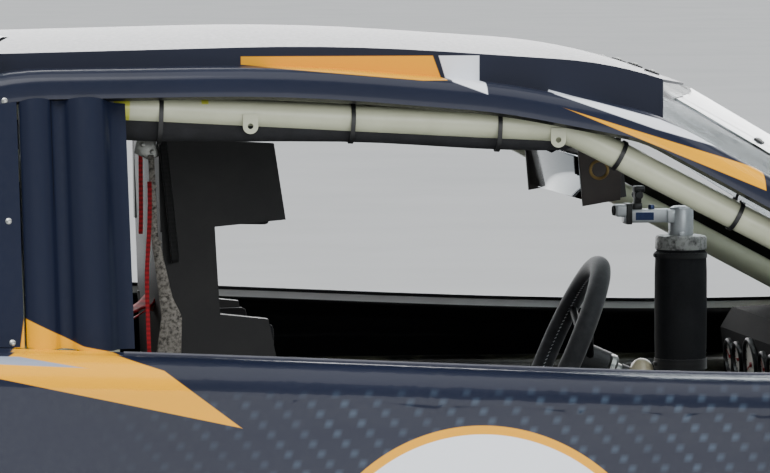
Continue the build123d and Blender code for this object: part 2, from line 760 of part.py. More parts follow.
def build_wheels():
    half = tyre_width / 2
    bead = 191.0
    tyre_form = [
        (-half + 22, bead), (-half, 270), (-half + 14, tyre_radius - 16), (-half + 34, tyre_radius),
        (half - 34, tyre_radius), (half - 14, tyre_radius - 16), (half, 270), (half - 22, bead),
    ]
    flange, barrel, sheet = 204.0, bead - 0.3, 7.0
    rim_form = [
        (-half + 8, flange), (-half + 14, flange), (-half + 21.6, barrel), (half - 21.6, barrel), (half - 14, flange),
        (half - 8, flange), (half - 16, barrel - sheet), (-half + 16, barrel - sheet),
    ]
    for name, x, y in (
        ("front_left", front_axle_x, track_half), ("front_right", front_axle_x, -track_half),
        ("rear_left", rear_axle_x, track_half), ("rear_right", rear_axle_x, -track_half),
    ):
        side = 1 if y > 0 else -1
        # Wheel frame: local x runs outboard along the axle, local y is the radius.
        spin_plane = Plane((x, y, axle_z), x_dir=(0, side, 0), z_dir=(side, 0, 0))

        def turned(points):
            face = make_face(Polyline(*points, close=True))
            flat = Plane.XY * face
            solid = revolve(flat, Axis.X, 360)
            return Plane((x, y, axle_z), x_dir=(0, side, 0), z_dir=(0, 0, 1)) * solid

        save(f"tyre_{name}", turned(tyre_form))
        face_y = hub_face - track_half
        disc_form = [
            (face_y - 8, 30), (face_y - 8, 95), (face_y + 12, 130), (face_y - 10, 160), (face_y - 18, barrel - 3),
            (face_y - 10, barrel - 3), (face_y - 2, 160), (face_y + 20, 130), (face_y, 92), (face_y, 30),
        ]
        centre = turned(disc_form)
        hub_form = [
            (-60, spindle_radius + hub_clear), (-60, 44), (-30, 44), (-30, 155), (-14, 155), (-14, 60), (face_y - 8, 60),
            (face_y - 8, 46), (face_y + 24, 46), (face_y + 24, 0), (face_y + 6, 0), (face_y + 6, spindle_radius + hub_clear),
        ]
        rim = turned(rim_form) + centre + turned(hub_form)
        holes = []
        for i in range(8):
            a = math.radians(45 * i)
            hole = rod(
                (x + 132 * math.cos(a), y + side * (face_y - 60), axle_z + 132 * math.sin(a)),
                (x + 132 * math.cos(a), y + side * (face_y + 60), axle_z + 132 * math.sin(a)), 22,
            )
            holes.append(hole & box(x - 200, x + 200, *sorted((y + side * (face_y - 12), y + side * 200)), 100, 600))
        for hole in holes:
            rim = rim - hole
        save(f"wheel_{name}", biggest(rim))


def build_running_gear(arms, frame, cage):
    save("frame_rails", frame)
    suspension = []
    for arm in arms:
        suspension.append(biggest(arm - frame))
    save("front_arms", *suspension)
    axle = fused([
        rod((rear_axle_x, -kingpin_half, axle_z), (rear_axle_x, kingpin_half, axle_z), 38),
        rod((rear_axle_x, -hub_face, axle_z), (rear_axle_x, hub_face, axle_z), spindle_radius),
        Pos(rear_axle_x, 0, axle_z) * Sphere(135),
        rod((rear_axle_x + 60, 0, axle_z), (rear_axle_x + 230, 0, axle_z), 48),
        rod((rear_axle_x, -330, axle_z - 75), (-770, -330, h_mid), 24),
        rod((rear_axle_x, 330, axle_z - 75), (-770, 330, h_mid), 24),
        box(rear_axle_x - 30, rear_axle_x + 30, -354, -306, axle_z - 90, axle_z),
        box(rear_axle_x - 30, rear_axle_x + 30, 306, 354, axle_z - 90, axle_z),
    ])
    save("rear_axle", biggest(axle - frame))
    save("engine_block", box(1090, 1690, -270, 270, 244, 730) - cage)
    save("radiator", box(2080, 2140, -330, 330, 250, 640))
    save("fuel_cell", box(-2124, -1720, -390, 390, 330, 620) - cage)


h_mid = rail_base_z + 50


def build_aero(outer, nose):
    blade = Plane.XZ * extrude(
        make_face(Polyline((-2388, 940), (-2394, 940), (-2446, 1122), (-2440, 1124), close=True)),
        deck_half - 30, both=True,
    )
    foot = box(-2400, -2340, -deck_half + 30, deck_half - 30, 960, 1012)
    spoiler = biggest(blade - outer)
    save("rear_spoiler", spoiler)
    plate = band(1985, 2600, z0=97, z1=112) & plan_cut(0)
    splitter = plate & band(1985, 2600, -930, 930, 97, 112)
    splitter = biggest(splitter - outer)
    for y in (-300, 300):
        splitter = splitter + rod((2040, y, 100), (2040, y, 240), 11)
    save("front_splitter", splitter)
    bars = []
    for i in range(5):
        z = grille_low + 19 + i * 38
        bars.append(box(2440, 2452, -grille_half - 12, grille_half + 12, z - 4, z + 4))
    for i in range(12):
        y = -grille_half + 39 + i * (2 * grille_half - 78) / 11
        bars.append(box(2440, 2452, y - 4, y + 4, grille_low - 10, grille_high + 10))
    save("grille", biggest(fused(bars) - nose))


outer, nose = build_skin()
build_greenhouse(outer)
frame = build_frame()
cage = build_cage(frame)
build_floor(cage, frame)
build_cockpit(cage)
arms = build_front_end()
build_wheels()
build_running_gear(arms, frame, cage)
build_aero(outer, nose)
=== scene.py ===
import math

import bmesh
import bpy
from mathutils import Matrix, Vector
from mathutils.bvhtree import BVHTree


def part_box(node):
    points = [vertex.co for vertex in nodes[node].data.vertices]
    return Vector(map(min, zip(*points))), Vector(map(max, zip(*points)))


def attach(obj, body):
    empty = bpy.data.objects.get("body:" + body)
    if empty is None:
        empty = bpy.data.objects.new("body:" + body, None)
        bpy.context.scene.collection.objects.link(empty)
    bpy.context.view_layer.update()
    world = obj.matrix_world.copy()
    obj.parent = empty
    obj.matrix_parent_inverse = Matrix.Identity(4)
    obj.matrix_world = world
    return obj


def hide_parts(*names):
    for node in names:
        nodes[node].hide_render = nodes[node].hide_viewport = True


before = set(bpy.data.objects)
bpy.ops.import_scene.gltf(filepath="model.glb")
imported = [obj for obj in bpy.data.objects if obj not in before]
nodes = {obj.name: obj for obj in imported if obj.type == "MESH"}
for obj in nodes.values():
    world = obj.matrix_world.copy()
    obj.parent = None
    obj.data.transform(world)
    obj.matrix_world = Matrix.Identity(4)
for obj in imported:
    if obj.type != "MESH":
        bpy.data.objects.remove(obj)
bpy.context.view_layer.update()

# Stock car: a sheet body in navy enamel over a cream tube cage. Metres, X to the nose, Y to the car's
# left, Z up.
mm = 0.001
sides = {"left": 1, "right": -1}
corners = ("front_left", "front_right", "rear_left", "rear_right")
print("frame loaded:", len(nodes), "nodes")


def linear(hexText):
    # sRGB hex to linear, for every colour in the file
    values = [int(hexText[i:i + 2], 16) / 255 for i in (1, 3, 5)]
    return [v / 12.92 if v <= 0.04045 else ((v + 0.055) / 1.055) ** 2.4 for v in values] + [1.0]


def addNode(tree, kind, inputs=None, stops=None, **settings):
    # Adds one shader node and returns its outputs: inputs are sockets or plain values, stops fill a ramp
    node = tree.nodes.new("ShaderNode" + kind)
    for name, value in settings.items():
        setattr(node, name, value)
    for key, value in (inputs or {}).items():
        if isinstance(value, bpy.types.NodeSocket):
            tree.links.new(value, node.inputs[key])
        elif isinstance(value, str):
            node.inputs[key].default_value = linear(value)
        else:
            node.inputs[key].default_value = value
    if stops:
        ramp = node.color_ramp
        while len(ramp.elements) < len(stops):
            ramp.elements.new(0.5)
        for element, (position, value) in zip(ramp.elements, stops):
            element.position = position
            element.color = linear(value) if isinstance(value, str) else [value] * 3 + [1.0]
    return node.outputs


def newMaterial(name, colour, roughness, **sockets):
    # A Principled material with its constants straight on the shader's sockets
    material = bpy.data.materials.new(name)
    material.use_nodes = True
    tree = material.node_tree
    shader = tree.nodes["Principled BSDF"]
    shader.inputs["Base Color"].default_value = linear(colour)
    shader.inputs["Roughness"].default_value = roughness
    for key, value in sockets.items():
        shader.inputs[key.replace("_", " ")].default_value = value
    material.diffuse_color = linear(colour)
    coords = addNode(tree, "TexCoord")["Object"]
    return material, tree, shader, coords


def finishSurface(tree, shader, coords, colour, **look):
    # Gives a surface its mottling, roughness range and relief from real sizes in millimetres.
    # colour is a socket or a hex; dark is the hex that it drifts to. mottle: patch size and how much of dark.
    # rough: lowest and highest roughness. grain: size and depth of the relief.
    facts = {"dark": None, "mottle": (90.0, 0.35), "rough": (0.3, 0.5), "grain": (3.0, 0.03),
             "stretch": (1.0, 1.0, 1.0), **look}
    (patchMm, amount), (grainMm, depthMm) = facts["mottle"], facts["grain"]
    if facts["dark"]:
        patches = addNode(tree, "TexNoise", {"Vector": coords, "Scale": 1 / (patchMm * mm),
                                             "Detail": 5.0, "Roughness": 0.6})["Fac"]
        share = addNode(tree, "MapRange", {0: patches, 1: 0.42, 2: 0.7, 3: 0.0, 4: amount})[0]
        colour = addNode(tree, "Mix", {0: share, 6: colour, 7: facts["dark"]}, data_type="RGBA")[2]
    if isinstance(colour, str):
        shader.inputs["Base Color"].default_value = linear(colour)
    else:
        tree.links.new(colour, shader.inputs["Base Color"])
    stretched = addNode(tree, "Mapping", {"Vector": coords, "Scale": facts["stretch"]})[0]
    grain = addNode(tree, "TexNoise", {"Vector": stretched, "Scale": 1 / (grainMm * mm),
                                       "Detail": 3.0, "Roughness": 0.55})["Fac"]
    low, high = facts["rough"]
    rough = addNode(tree, "MapRange", {0: grain, 1: 0.3, 2: 0.7, 3: low, 4: high})
    tree.links.new(rough[0], shader.inputs["Roughness"])
    relief = addNode(tree, "Bump", {"Height": grain, "Strength": 1.0, "Distance": depthMm * mm})
    tree.links.new(relief["Normal"], shader.inputs["Normal"])


# Camera: at the car's right, a little behind the window, looking slightly forward and down
cameraFacts = {"place": (-1.327, -8.712, 1.557), "yawDeg": 8.5, "pitchDeg": 3.55, "lensMm": 246.0,
               "sensorMm": 36.0, "reach": 400.0}


def stand(data, place, look):
    # Puts a camera or a lamp in place, looking one way
    holder = bpy.data.objects.new(data.name, data)
    holder.rotation_mode = "QUATERNION"
    holder.rotation_quaternion = Vector(look).to_track_quat("-Z", "Y")
    holder.location = place
    bpy.context.scene.collection.objects.link(holder)
    return holder


def addCamera():
    data = bpy.data.cameras.new("camera")
    data.lens, data.sensor_width = cameraFacts["lensMm"], cameraFacts["sensorMm"]
    data.clip_end = cameraFacts["reach"]
    yaw, pitch = math.radians(cameraFacts["yawDeg"]), math.radians(cameraFacts["pitchDeg"])
    look = (math.sin(yaw) * math.cos(pitch), math.cos(yaw) * math.cos(pitch), -math.sin(pitch))
    bpy.context.scene.camera = stand(data, cameraFacts["place"], look)


# Studio: a pale floor, a pale sky, a broad soft key from above and a tall white screen behind the car
studio = {
    "floorSize": 900.0, "floorColour": "#E2E3E2", "skyColour": (0.86, 0.9, 0.95, 1.0), "skyStrength": 0.55,
    "keyAim": (0.25, 0.35, -1.0), "keyStrength": 1.9, "keySoftDeg": 40.0,
    "lamps": (
        # name, place, aim, width, height, watts
        ("overhead", (0.3, -1.2, 6.5), (0.0, 0.0, 0.6), 8.0, 5.0, 300.0),
        ("rightFill", (2.5, -9.0, 3.4), (0.1, 0.0, 0.8), 7.0, 3.5, 330.0),
        ("farScreen", (0.0, 10.0, 4.6), (0.0, 0.0, 1.0), 16.0, 7.0, 1500.0),
    ),
}


def addStudio():
    form = bmesh.new()
    bmesh.ops.create_grid(form, x_segments=2, y_segments=2, size=studio["floorSize"] / 2)
    mesh = bpy.data.meshes.new("floor")
    form.to_mesh(mesh)
    form.free()
    floor = bpy.data.objects.new("floor", mesh)
    bpy.context.scene.collection.objects.link(floor)
    material, tree, shader, coords = newMaterial("paintedConcrete", studio["floorColour"], 0.6)
    finishSurface(tree, shader, coords, studio["floorColour"], dark="#CBCCCB", mottle=(1500.0, 0.35),
                  rough=(0.55, 0.7), grain=(6.0, 0.05))
    mesh.materials.append(material)
    world = bpy.data.worlds.new("studioSky")
    world.use_nodes = True
    backdrop = world.node_tree.nodes["Background"]
    backdrop.inputs["Color"].default_value = studio["skyColour"]
    backdrop.inputs["Strength"].default_value = studio["skyStrength"]
    bpy.context.scene.world = world
    key = bpy.data.lights.new("key", "SUN")
    key.energy, key.angle = studio["keyStrength"], math.radians(studio["keySoftDeg"])
    stand(key, (0.0, 0.0, 0.0), studio["keyAim"])
    for name, place, aim, width, height, watts in studio["lamps"]:
        lamp = bpy.data.lights.new(name, "AREA")
        lamp.shape, lamp.size, lamp.size_y, lamp.energy = "RECTANGLE", width, height, watts
        stand(lamp, place, Vector(aim) - Vector(place))


addCamera()
addStudio()
print("camera and studio stand")

# Body paint: convex patches over the navy, in millimetres, laid on in this order.
# A side patch is seen square to the car's side (x, z), a top patch from above (x, y).
bodyPaint = {
    "navy": "#1A2034", "navyDark": "#131826", "print": "#3A4859", "yellow": "#E8A300", "grey": "#8B93A3",
    "white": "#E6EAF0", "black": "#101217", "lamp": "#C9CDD2", "marker": "#C9CB3C",
    "tailLamp": "#8A0A0E", "primer": "#131416", "middle": (0.0, 0.0, 0.55),
    "discX": -16.0, "discZ": 490.0, "discRadius": 278.0, "discBorder": 13.0,
    "printStepX": 50.0, "printStepZ": 14.7, "printShift": 12.4, "printWide": 12.5, "printLean": 5.0,
    # the print grows from nothing to full strength between these two places, in metres
    "printFades": (("X", -0.6, -0.25), ("Z", 0.842, 0.818), ("X", 1.3, 0.9)),
    "edge": 1.5,
    # sizes of the cloudy patches in the navy and in the print
    "hazePatch": 400.0, "printPatch": 90.0,
}


def bothSides(patches, across):
    # The patches and their mirror images: across says which of a corner's two numbers is Y
    turned = [(name, tuple((x, -y) if across else (-x, y) for x, y in patch)) for name, patch in patches]
    return patches + tuple(turned)


sidePatches = (
    # colour, corners
    ("yellow", ((-742, 884), (-709, 898), (-608, 899), (-562, 890), (-492, 868), (-376, 781), (-742, 860))),
    ("yellow", ((-694, 942), (-604, 898), (-604, 880), (-704, 880))),
    ("yellow", ((-741, 884), (-741, 860), (-1400, 690), (-1150, 800))),
    ("yellow", ((-1380, 760), (-1040, 846), (-1150, 800), (-2050, 560))),
    ("grey", ((-742, 892), (-709, 891), (-600, 872), (-742, 880))),
    ("grey", ((-741, 880), (-741, 892), (-1060, 845), (-1100, 833))),
    ("yellow", ((700, 760), (1010, 824), (1700, 640), (1010, 742))),
    ("grey", ((1010, 780), (1010, 792), (1900, 560), (1500, 640))),
)
roofPatches = (
    ("yellow", ((-338, 1330), (-338, 1316), (-60, 1292), (-20, 1292), (-34, 1330))),
    ("white", ((-26, 1330), (-14, 1290), (40, 1270), (40, 1330))),
    ("yellow", ((120, 1262), (152, 1252), (470, 1120), (470, 1156), (300, 1216))),
    ("white", ((150, 1276), (310, 1232), (470, 1166), (470, 1156), (300, 1216), (140, 1262))),
)
hoodPatches = bothSides((
    ("yellow", ((1000, 200), (1000, 255), (2300, 320), (2300, 230))),
    ("grey", ((1000, 268), (1000, 280), (2300, 352), (2300, 334))),
), 1)
deckPatches = bothSides((("yellow", ((-2440, 200), (-2440, 260), (-1500, 240), (-1500, 190))),), 1)
# Seen from the front or the back (y, z): lamp films in black surrounds
nosePatches = bothSides((
    ("black", ((520, 470), (560, 540), (800, 520), (860, 440), (760, 430))),
    ("lamp", ((545, 474), (572, 528), (790, 510), (838, 446), (760, 440))),
), 0)
tailPatches = bothSides((
    ("black", ((330, 740), (330, 850), (800, 840), (830, 760), (790, 720))),
    ("tailLamp", ((345, 752), (345, 838), (788, 828), (812, 764), (782, 732))),
), 0)


def layOver(tree, depth, colour, over, edge=bodyPaint["edge"]):
    # Lays a colour over another where depth, in metres, is above nought, across a narrow edge in millimetres
    share = addNode(tree, "Math", {0: depth, 1: 1 / (edge * mm)}, operation="MULTIPLY", use_clamp=True)[0]
    return addNode(tree, "Mix", {0: share, 6: colour, 7: over}, data_type="RGBA")[2]


def paintPatches(tree, coords, colour, patches, axes):
    # Lays crisp convex patches over a colour; axes says which two coordinates the corners give
    for name, patch in patches:
        centre = [sum(corner[i] for corner in patch) / len(patch) for i in (0, 1)]
        inside = None
        for (ax, ay), (bx, by) in zip(patch, patch[1:] + patch[:1]):
            across = Vector((by - ay, ax - bx)).normalized()
            if across.dot(Vector((centre[0] - ax, centre[1] - ay))) < 0:
                across = -across
            way = [0.0, 0.0, 0.0]
            way[axes[0]], way[axes[1]] = across
            reach = addNode(tree, "VectorMath", {0: coords, 1: way}, operation="DOT_PRODUCT")["Value"]
            start = across.dot(Vector((ax, ay))) * mm
            depth = addNode(tree, "Math", {0: reach, 1: start}, operation="SUBTRACT")[0]
            if inside is None:
                inside = depth
            else:
                inside = addNode(tree, "Math", {0: inside, 1: depth}, operation="MINIMUM")[0]
        colour = layOver(tree, inside, colour, bodyPaint[name])
    return colour


def printWeave(tree, coords, colour):
    # Rows of soft leaning spots printed on the door: each lower row starts further forward
    place = addNode(tree, "SeparateXYZ", {0: coords})
    rows = addNode(tree, "Math", {0: place["Z"], 1: 1 / (bodyPaint["printStepZ"] * mm)},
                   operation="MULTIPLY")[0]
    row = addNode(tree, "Math", {0: rows}, operation="FLOOR")[0]
    columns = addNode(tree, "Math", {0: place["X"], 1: 1 / (bodyPaint["printStepX"] * mm)},
                      operation="MULTIPLY")[0]
    shift, lean, wide = (bodyPaint[key] / bodyPaint["printStepX"]
                         for key in ("printShift", "printLean", "printWide"))
    moved = addNode(tree, "Math", {0: row, 1: shift, 2: columns}, operation="MULTIPLY_ADD")[0]
    up = addNode(tree, "Math", {0: rows}, operation="FRACT")[0]
    moved = addNode(tree, "Math", {0: up, 1: -lean, 2: moved}, operation="MULTIPLY_ADD")[0]
    across = addNode(tree, "Math", {0: moved}, operation="FRACT")[0]
    spotStops = ((0.0, 0.0), (wide * 0.4, 1.0), (wide * 0.8, 1.0), (wide * 1.3, 0.0))
    spot = addNode(tree, "ValToRGB", {0: across}, stops=spotStops)[0]
    soft = addNode(tree, "ValToRGB", {0: up}, stops=((0.0, 0.15), (0.45, 1.0), (0.55, 1.0), (1.0, 0.15)))[0]
    patchy = addNode(tree, "TexNoise", {"Vector": coords, "Scale": 1 / (bodyPaint["printPatch"] * mm),
                                        "Detail": 2.0})["Fac"]
    strength = addNode(tree, "MapRange", {0: patchy, 1: 0.35, 2: 0.65, 3: 0.45, 4: 0.9})[0]
    # The print fades out behind the door, above its shoulder and ahead of it
    fades = [addNode(tree, "MapRange", {0: place[axis], 1: none, 2: full, 3: 0.0, 4: 1.0})[0]
             for axis, none, full in bodyPaint["printFades"]]
    for part in (spot, soft, *fades):
        strength = addNode(tree, "Math", {0: strength, 1: part}, operation="MULTIPLY")[0]
    return addNode(tree, "Mix", {0: strength, 6: colour, 7: bodyPaint["print"]}, data_type="RGBA")[2]


def paintDisc(tree, coords, colour):
    # The blank disc on each door: white, with a yellow border
    middle = (bodyPaint["discX"] * mm, 0.0, bodyPaint["discZ"] * mm)
    flat = addNode(tree, "VectorMath", {0: coords, 1: (1.0, 0.0, 1.0)}, operation="MULTIPLY")[0]
    reach = addNode(tree, "VectorMath", {0: flat, 1: middle}, operation="DISTANCE")["Value"]
    radius = bodyPaint["discRadius"]
    for name, radius in (("yellow", radius + bodyPaint["discBorder"]), ("white", radius)):
        depth = addNode(tree, "Math", {0: radius * mm, 1: reach}, operation="SUBTRACT")[0]
        colour = layOver(tree, depth, colour, bodyPaint[name])
    return colour


def bodyEnamel(name, patches=(), axes=(0, 2), printed=False, disc=False):
    # Sprayed enamel under clear coat: deep colour with a sharp reflection and a faint orange peel
    material, tree, shader, coords = newMaterial(name, bodyPaint["navy"], 0.35, Coat_Weight=0.2,
                                                 Coat_Roughness=0.08, Specular_IOR_Level=0.12)
    haze = addNode(tree, "TexNoise", {"Vector": coords, "Scale": 1 / (bodyPaint["hazePatch"] * mm),
                                      "Detail": 4.0})["Fac"]
    colour = addNode(tree, "Mix", {0: haze, 6: bodyPaint["navy"], 7: bodyPaint["navyDark"]},
                     data_type="RGBA")[2]
    if printed:
        colour = printWeave(tree, coords, colour)
    if disc:
        colour = paintDisc(tree, coords, colour)
    colour = paintPatches(tree, coords, colour, patches, axes)
    # A panel's inner face looks towards the middle of the car and stays in black primer
    outward = addNode(tree, "VectorMath", {0: coords, 1: bodyPaint["middle"]}, operation="SUBTRACT")[0]
    facing = addNode(tree, "TexCoord")["Normal"]
    facing = addNode(tree, "VectorMath", {0: outward, 1: facing}, operation="DOT_PRODUCT")["Value"]
    inner = addNode(tree, "Math", {0: facing, 1: 0.0}, operation="LESS_THAN")[0]
    colour = addNode(tree, "Mix", {0: inner, 6: colour, 7: bodyPaint["primer"]}, data_type="RGBA")[2]
    finishSurface(tree, shader, coords, colour, rough=(0.28, 0.4), grain=(7.0, 0.02))
    return material


sideEnamel = bodyEnamel("sideEnamel", sidePatches, printed=True, disc=True)
roofEnamel = bodyEnamel("roofEnamel", roofPatches)
hoodEnamel = bodyEnamel("hoodEnamel", hoodPatches, axes=(0, 1))
deckEnamel = bodyEnamel("deckEnamel", deckPatches, axes=(0, 1))
noseEnamel = bodyEnamel("noseEnamel", nosePatches, axes=(1, 2))
tailEnamel = bodyEnamel("tailEnamel", tailPatches, axes=(1, 2))
postEnamel = bodyEnamel("postEnamel", sidePatches)
rivetEnamel = bodyEnamel("rivetEnamel")


def plainFinish(name, colour, roughness, sockets=None, **look):
    material, tree, shader, coords = newMaterial(name, colour, roughness, **(sockets or {}))
    finishSurface(tree, shader, coords, colour, **look)
    return material


# Powder-coated tube: cream with a greenish cast, soft gloss, grimy in patches
tubeFacts = {
    "cream": "#C6C9AE", "grime": "#96977C", "black": "#0E0F10", "barsOut": 722.0, "barsTop": 790.0,
    "barsEdge": 2.0,
    # inspection marks in yellow paint on the side tubes: corners as seen from the side
    "marks": (("marker", ((-541, 1300), (-541, 1200), (-516, 1200), (-513, 1300))),
              ("marker", ((-407, 1300), (-404, 1256), (-392, 1256), (-390, 1300)))),
}


def makeTubeEnamel():
    material, tree, shader, coords = newMaterial("creamPowderCoat", tubeFacts["cream"], 0.35,
                                                 Coat_Weight=0.35, Coat_Roughness=0.2)
    colour = paintPatches(tree, coords, tubeFacts["cream"], tubeFacts["marks"], (0, 2))
    # The door bars, outboard of the hoop and below the sill, are coloured black
    place = addNode(tree, "SeparateXYZ", {0: coords})
    across = addNode(tree, "Math", {0: place["Y"]}, operation="ABSOLUTE")[0]
    beyond = addNode(tree, "Math", {0: across, 1: tubeFacts["barsOut"] * mm}, operation="SUBTRACT")[0]
    below = addNode(tree, "Math", {0: tubeFacts["barsTop"] * mm, 1: place["Z"]}, operation="SUBTRACT")[0]
    depth = addNode(tree, "Math", {0: beyond, 1: below}, operation="MINIMUM")[0]
    colour = layOver(tree, depth, colour, tubeFacts["black"], tubeFacts["barsEdge"])
    finishSurface(tree, shader, coords, colour, dark=tubeFacts["grime"], mottle=(70.0, 0.25),
                  rough=(0.3, 0.5), grain=(2.2, 0.04))
    return material


tubeEnamel = makeTubeEnamel()
# Chassis paint: flat grey, dusty, with the slight tooth of brushed-on paint
chassisPaint = plainFinish("greyChassisPaint", "#84888B", 0.5, dark="#55585A", mottle=(120.0, 0.6),
                           rough=(0.42, 0.62), grain=(1.6, 0.05))
# Rolled aluminium sheet: drawn one way by the rolls, so it gleams in long streaks
rolledAluminium = plainFinish("rolledAluminium", "#A9ACAE", 0.38, {"Metallic": 1.0}, dark="#808386",
                              mottle=(220.0, 0.5), rough=(0.3, 0.46), grain=(2.5, 0.01),
                              stretch=(0.05, 1.0, 1.0))
# Black-painted sheet: dash and tunnel, soft satin with dust
blackSheet = plainFinish("blackSatinSheet", "#1B1C1F", 0.5, dark="#2A2A2B", mottle=(150.0, 0.5),
                         rough=(0.4, 0.6), grain=(1.2, 0.04))
# Cast iron and rough steel: dark, grainy from the sand
castIron = plainFinish("castIron", "#3E3D3C", 0.62, {"Metallic": 0.6}, dark="#5A4B40", mottle=(40.0, 0.5),
                       rough=(0.5, 0.75), grain=(1.5, 0.16))
# Zinc-plated steel: screws, nuts, springs' seats
platedSteel = plainFinish("zincPlatedSteel", "#A6A8A4", 0.32, {"Metallic": 1.0}, dark="#7E7C74",
                          mottle=(12.0, 0.5), rough=(0.24, 0.42), grain=(0.8, 0.01))
# Wheel enamel: black gloss over rolled steel, with brake dust
wheelEnamel = plainFinish("wheelEnamel", "#15161A", 0.35, {"Coat_Weight": 0.4, "Coat_Roughness": 0.15},
                          dark="#2B2522", mottle=(60.0, 0.7), rough=(0.3, 0.5), grain=(2.0, 0.03))
# Racing slick: flat black rubber, scuffed grey-brown where it rolls
slickRubber = plainFinish("slickRubber", "#141414", 0.75, dark="#262320", mottle=(45.0, 0.6),
                          rough=(0.65, 0.9), grain=(1.4, 0.12))
# Moulded plastic: black ABS with a fine spark texture
blackPlastic = plainFinish("blackAbs", "#161718", 0.45, dark="#202122", mottle=(60.0, 0.4),
                           rough=(0.38, 0.55), grain=(0.9, 0.05))
# Closed-cell foam: dense charcoal padding with a dull open skin
foamSkin = plainFinish("closedCellFoam", "#16171A", 0.85, dark="#26272B", mottle=(30.0, 0.55),
                       rough=(0.75, 0.95), grain=(1.0, 0.18))
# Suede wrap on the steering wheel: charcoal nap that scatters light at its edge
suedeWrap = plainFinish("suedeWrap", "#3C3D40", 0.9, {"Sheen_Weight": 0.6, "Sheen_Roughness": 0.4},
                        dark="#55565A", mottle=(18.0, 0.5), rough=(0.8, 0.95), grain=(0.7, 0.12))
# Pale grey anodised aluminium: the camera bar and its post, satin with a cool cast
paleAnodised = plainFinish("paleAnodised", "#C3C7CA", 0.4, {"Metallic": 0.55}, dark="#A4A8AB",
                           mottle=(30.0, 0.35), rough=(0.34, 0.5), grain=(0.8, 0.02))
# Dash sheet: crinkle-finish black, nearly without shine so that it throws nothing into the windshield
dashSheet = plainFinish("crinkleBlackSheet", "#060607", 0.85, {"Specular_IOR_Level": 0.1}, dark="#0D0D0E",
                        mottle=(80.0, 0.5), rough=(0.75, 0.95), grain=(1.6, 0.12))
# Phenolic knob: cream, cast and polished, so it glints
creamPlastic = plainFinish("creamPhenolic", "#DCD3B4", 0.25, {"Coat_Weight": 0.5, "Coat_Roughness": 0.08},
                           dark="#C4B58E", mottle=(14.0, 0.4), rough=(0.2, 0.32), grain=(2.0, 0.01))


# Clear polycarbonate: the windshield and rear window, faintly blue at the edges, with fine wiping scratches
def makeClearSheet():
    material, tree, shader, coords = newMaterial("clearPolycarbonate", "#EAF2F4", 0.04,
                                                 Transmission_Weight=1.0, IOR=1.58)
    finishSurface(tree, shader, coords, "#EAF2F4", rough=(0.02, 0.09), grain=(1.5, 0.002),
                  stretch=(1.0, 0.15, 1.0))
    return material


# Woven harness webbing: flat ribs across the strap, from the thread spacing
def makeWebbing(name, colour, dark):
    material, tree, shader, coords = newMaterial(name, colour, 0.7, Sheen_Weight=0.3, Sheen_Roughness=0.5)
    ribs = addNode(tree, "TexWave", {"Vector": coords, "Scale": 1 / (4.0 * mm) / 6.28, "Distortion": 0.4},
                   bands_direction="Z")["Fac"]
    shade = addNode(tree, "Mix", {0: ribs, 6: dark, 7: colour}, data_type="RGBA")[2]
    finishSurface(tree, shader, coords, shade, rough=(0.6, 0.85), grain=(0.8, 0.1))
    return material


# Quilted seat cloth: black ballistic nylon, a tight grid of threads drawn 3 mm apart so that it shows
def makeSeatCloth():
    material, tree, shader, coords = newMaterial("seatCloth", "#1C1D20", 0.85, Sheen_Weight=0.35,
                                                 Sheen_Roughness=0.5)
    place = addNode(tree, "SeparateXYZ", {0: coords})
    threads = []
    for axis in ("Y", "Z"):
        turns = addNode(tree, "Math", {0: place[axis], 1: 2 * math.pi / (3.0 * mm)}, operation="MULTIPLY")[0]
        threads.append(addNode(tree, "Math", {0: turns}, operation="SINE")[0])
    grid = addNode(tree, "Math", {0: threads[0], 1: threads[1]}, operation="MULTIPLY")[0]
    share = addNode(tree, "MapRange", {0: grid, 1: -1.0, 2: 1.0, 3: 0.0, 4: 1.0})[0]
    shade = addNode(tree, "Mix", {0: share, 6: "#141518", 7: "#2A2B30"}, data_type="RGBA")[2]
    finishSurface(tree, shader, coords, shade, dark="#33322F", mottle=(60.0, 0.4), rough=(0.75, 0.95),
                  grain=(1.0, 0.15))
    return material


# Silvered mirror glass: a near perfect reflection
def makeMirrorGlass():
    material, tree, shader, coords = newMaterial("silveredGlass", "#8A9094", 0.02, Metallic=1.0)
    finishSurface(tree, shader, coords, "#8A9094", rough=(0.01, 0.03), grain=(60.0, 0.001))
    return material


clearSheet = makeClearSheet()
redWebbing = makeWebbing("redWebbing", "#DC1C2C", "#A5121F")
blackWebbing = makeWebbing("blackWebbing", "#1B1B1D", "#0E0E10")
seatCloth = makeSeatCloth()
mirrorGlass = makeMirrorGlass()
redPaint, yellowPaint, whitePaint = (
    plainFinish(name + "GlossPaint", colour, 0.3, {"Coat_Weight": 0.6, "Coat_Roughness": 0.1}, dark=dark,
                rough=(0.25, 0.4), grain=(3.0, 0.02))
    for name, colour, dark in (("red", "#A3171F", "#7C1016"), ("yellow", "#E0A51B", "#B98514"),
                               ("white", "#DCE0E4", "#C2C6CA")))
# Boot leather: soft black hide, creased
bootLeather = plainFinish("bootLeather", "#1A1918", 0.6, dark="#2B2826", mottle=(20.0, 0.35),
                          rough=(0.5, 0.75), grain=(2.2, 0.25))
# Seat shell: black powder coat over folded aluminium, dusty, rubbed paler on its folds
seatShell = plainFinish("blackPowderCoat", "#17181A", 0.5, dark="#2B2A29", mottle=(80.0, 0.5),
                        rough=(0.42, 0.6), grain=(1.3, 0.06))
print("finishes mixed")

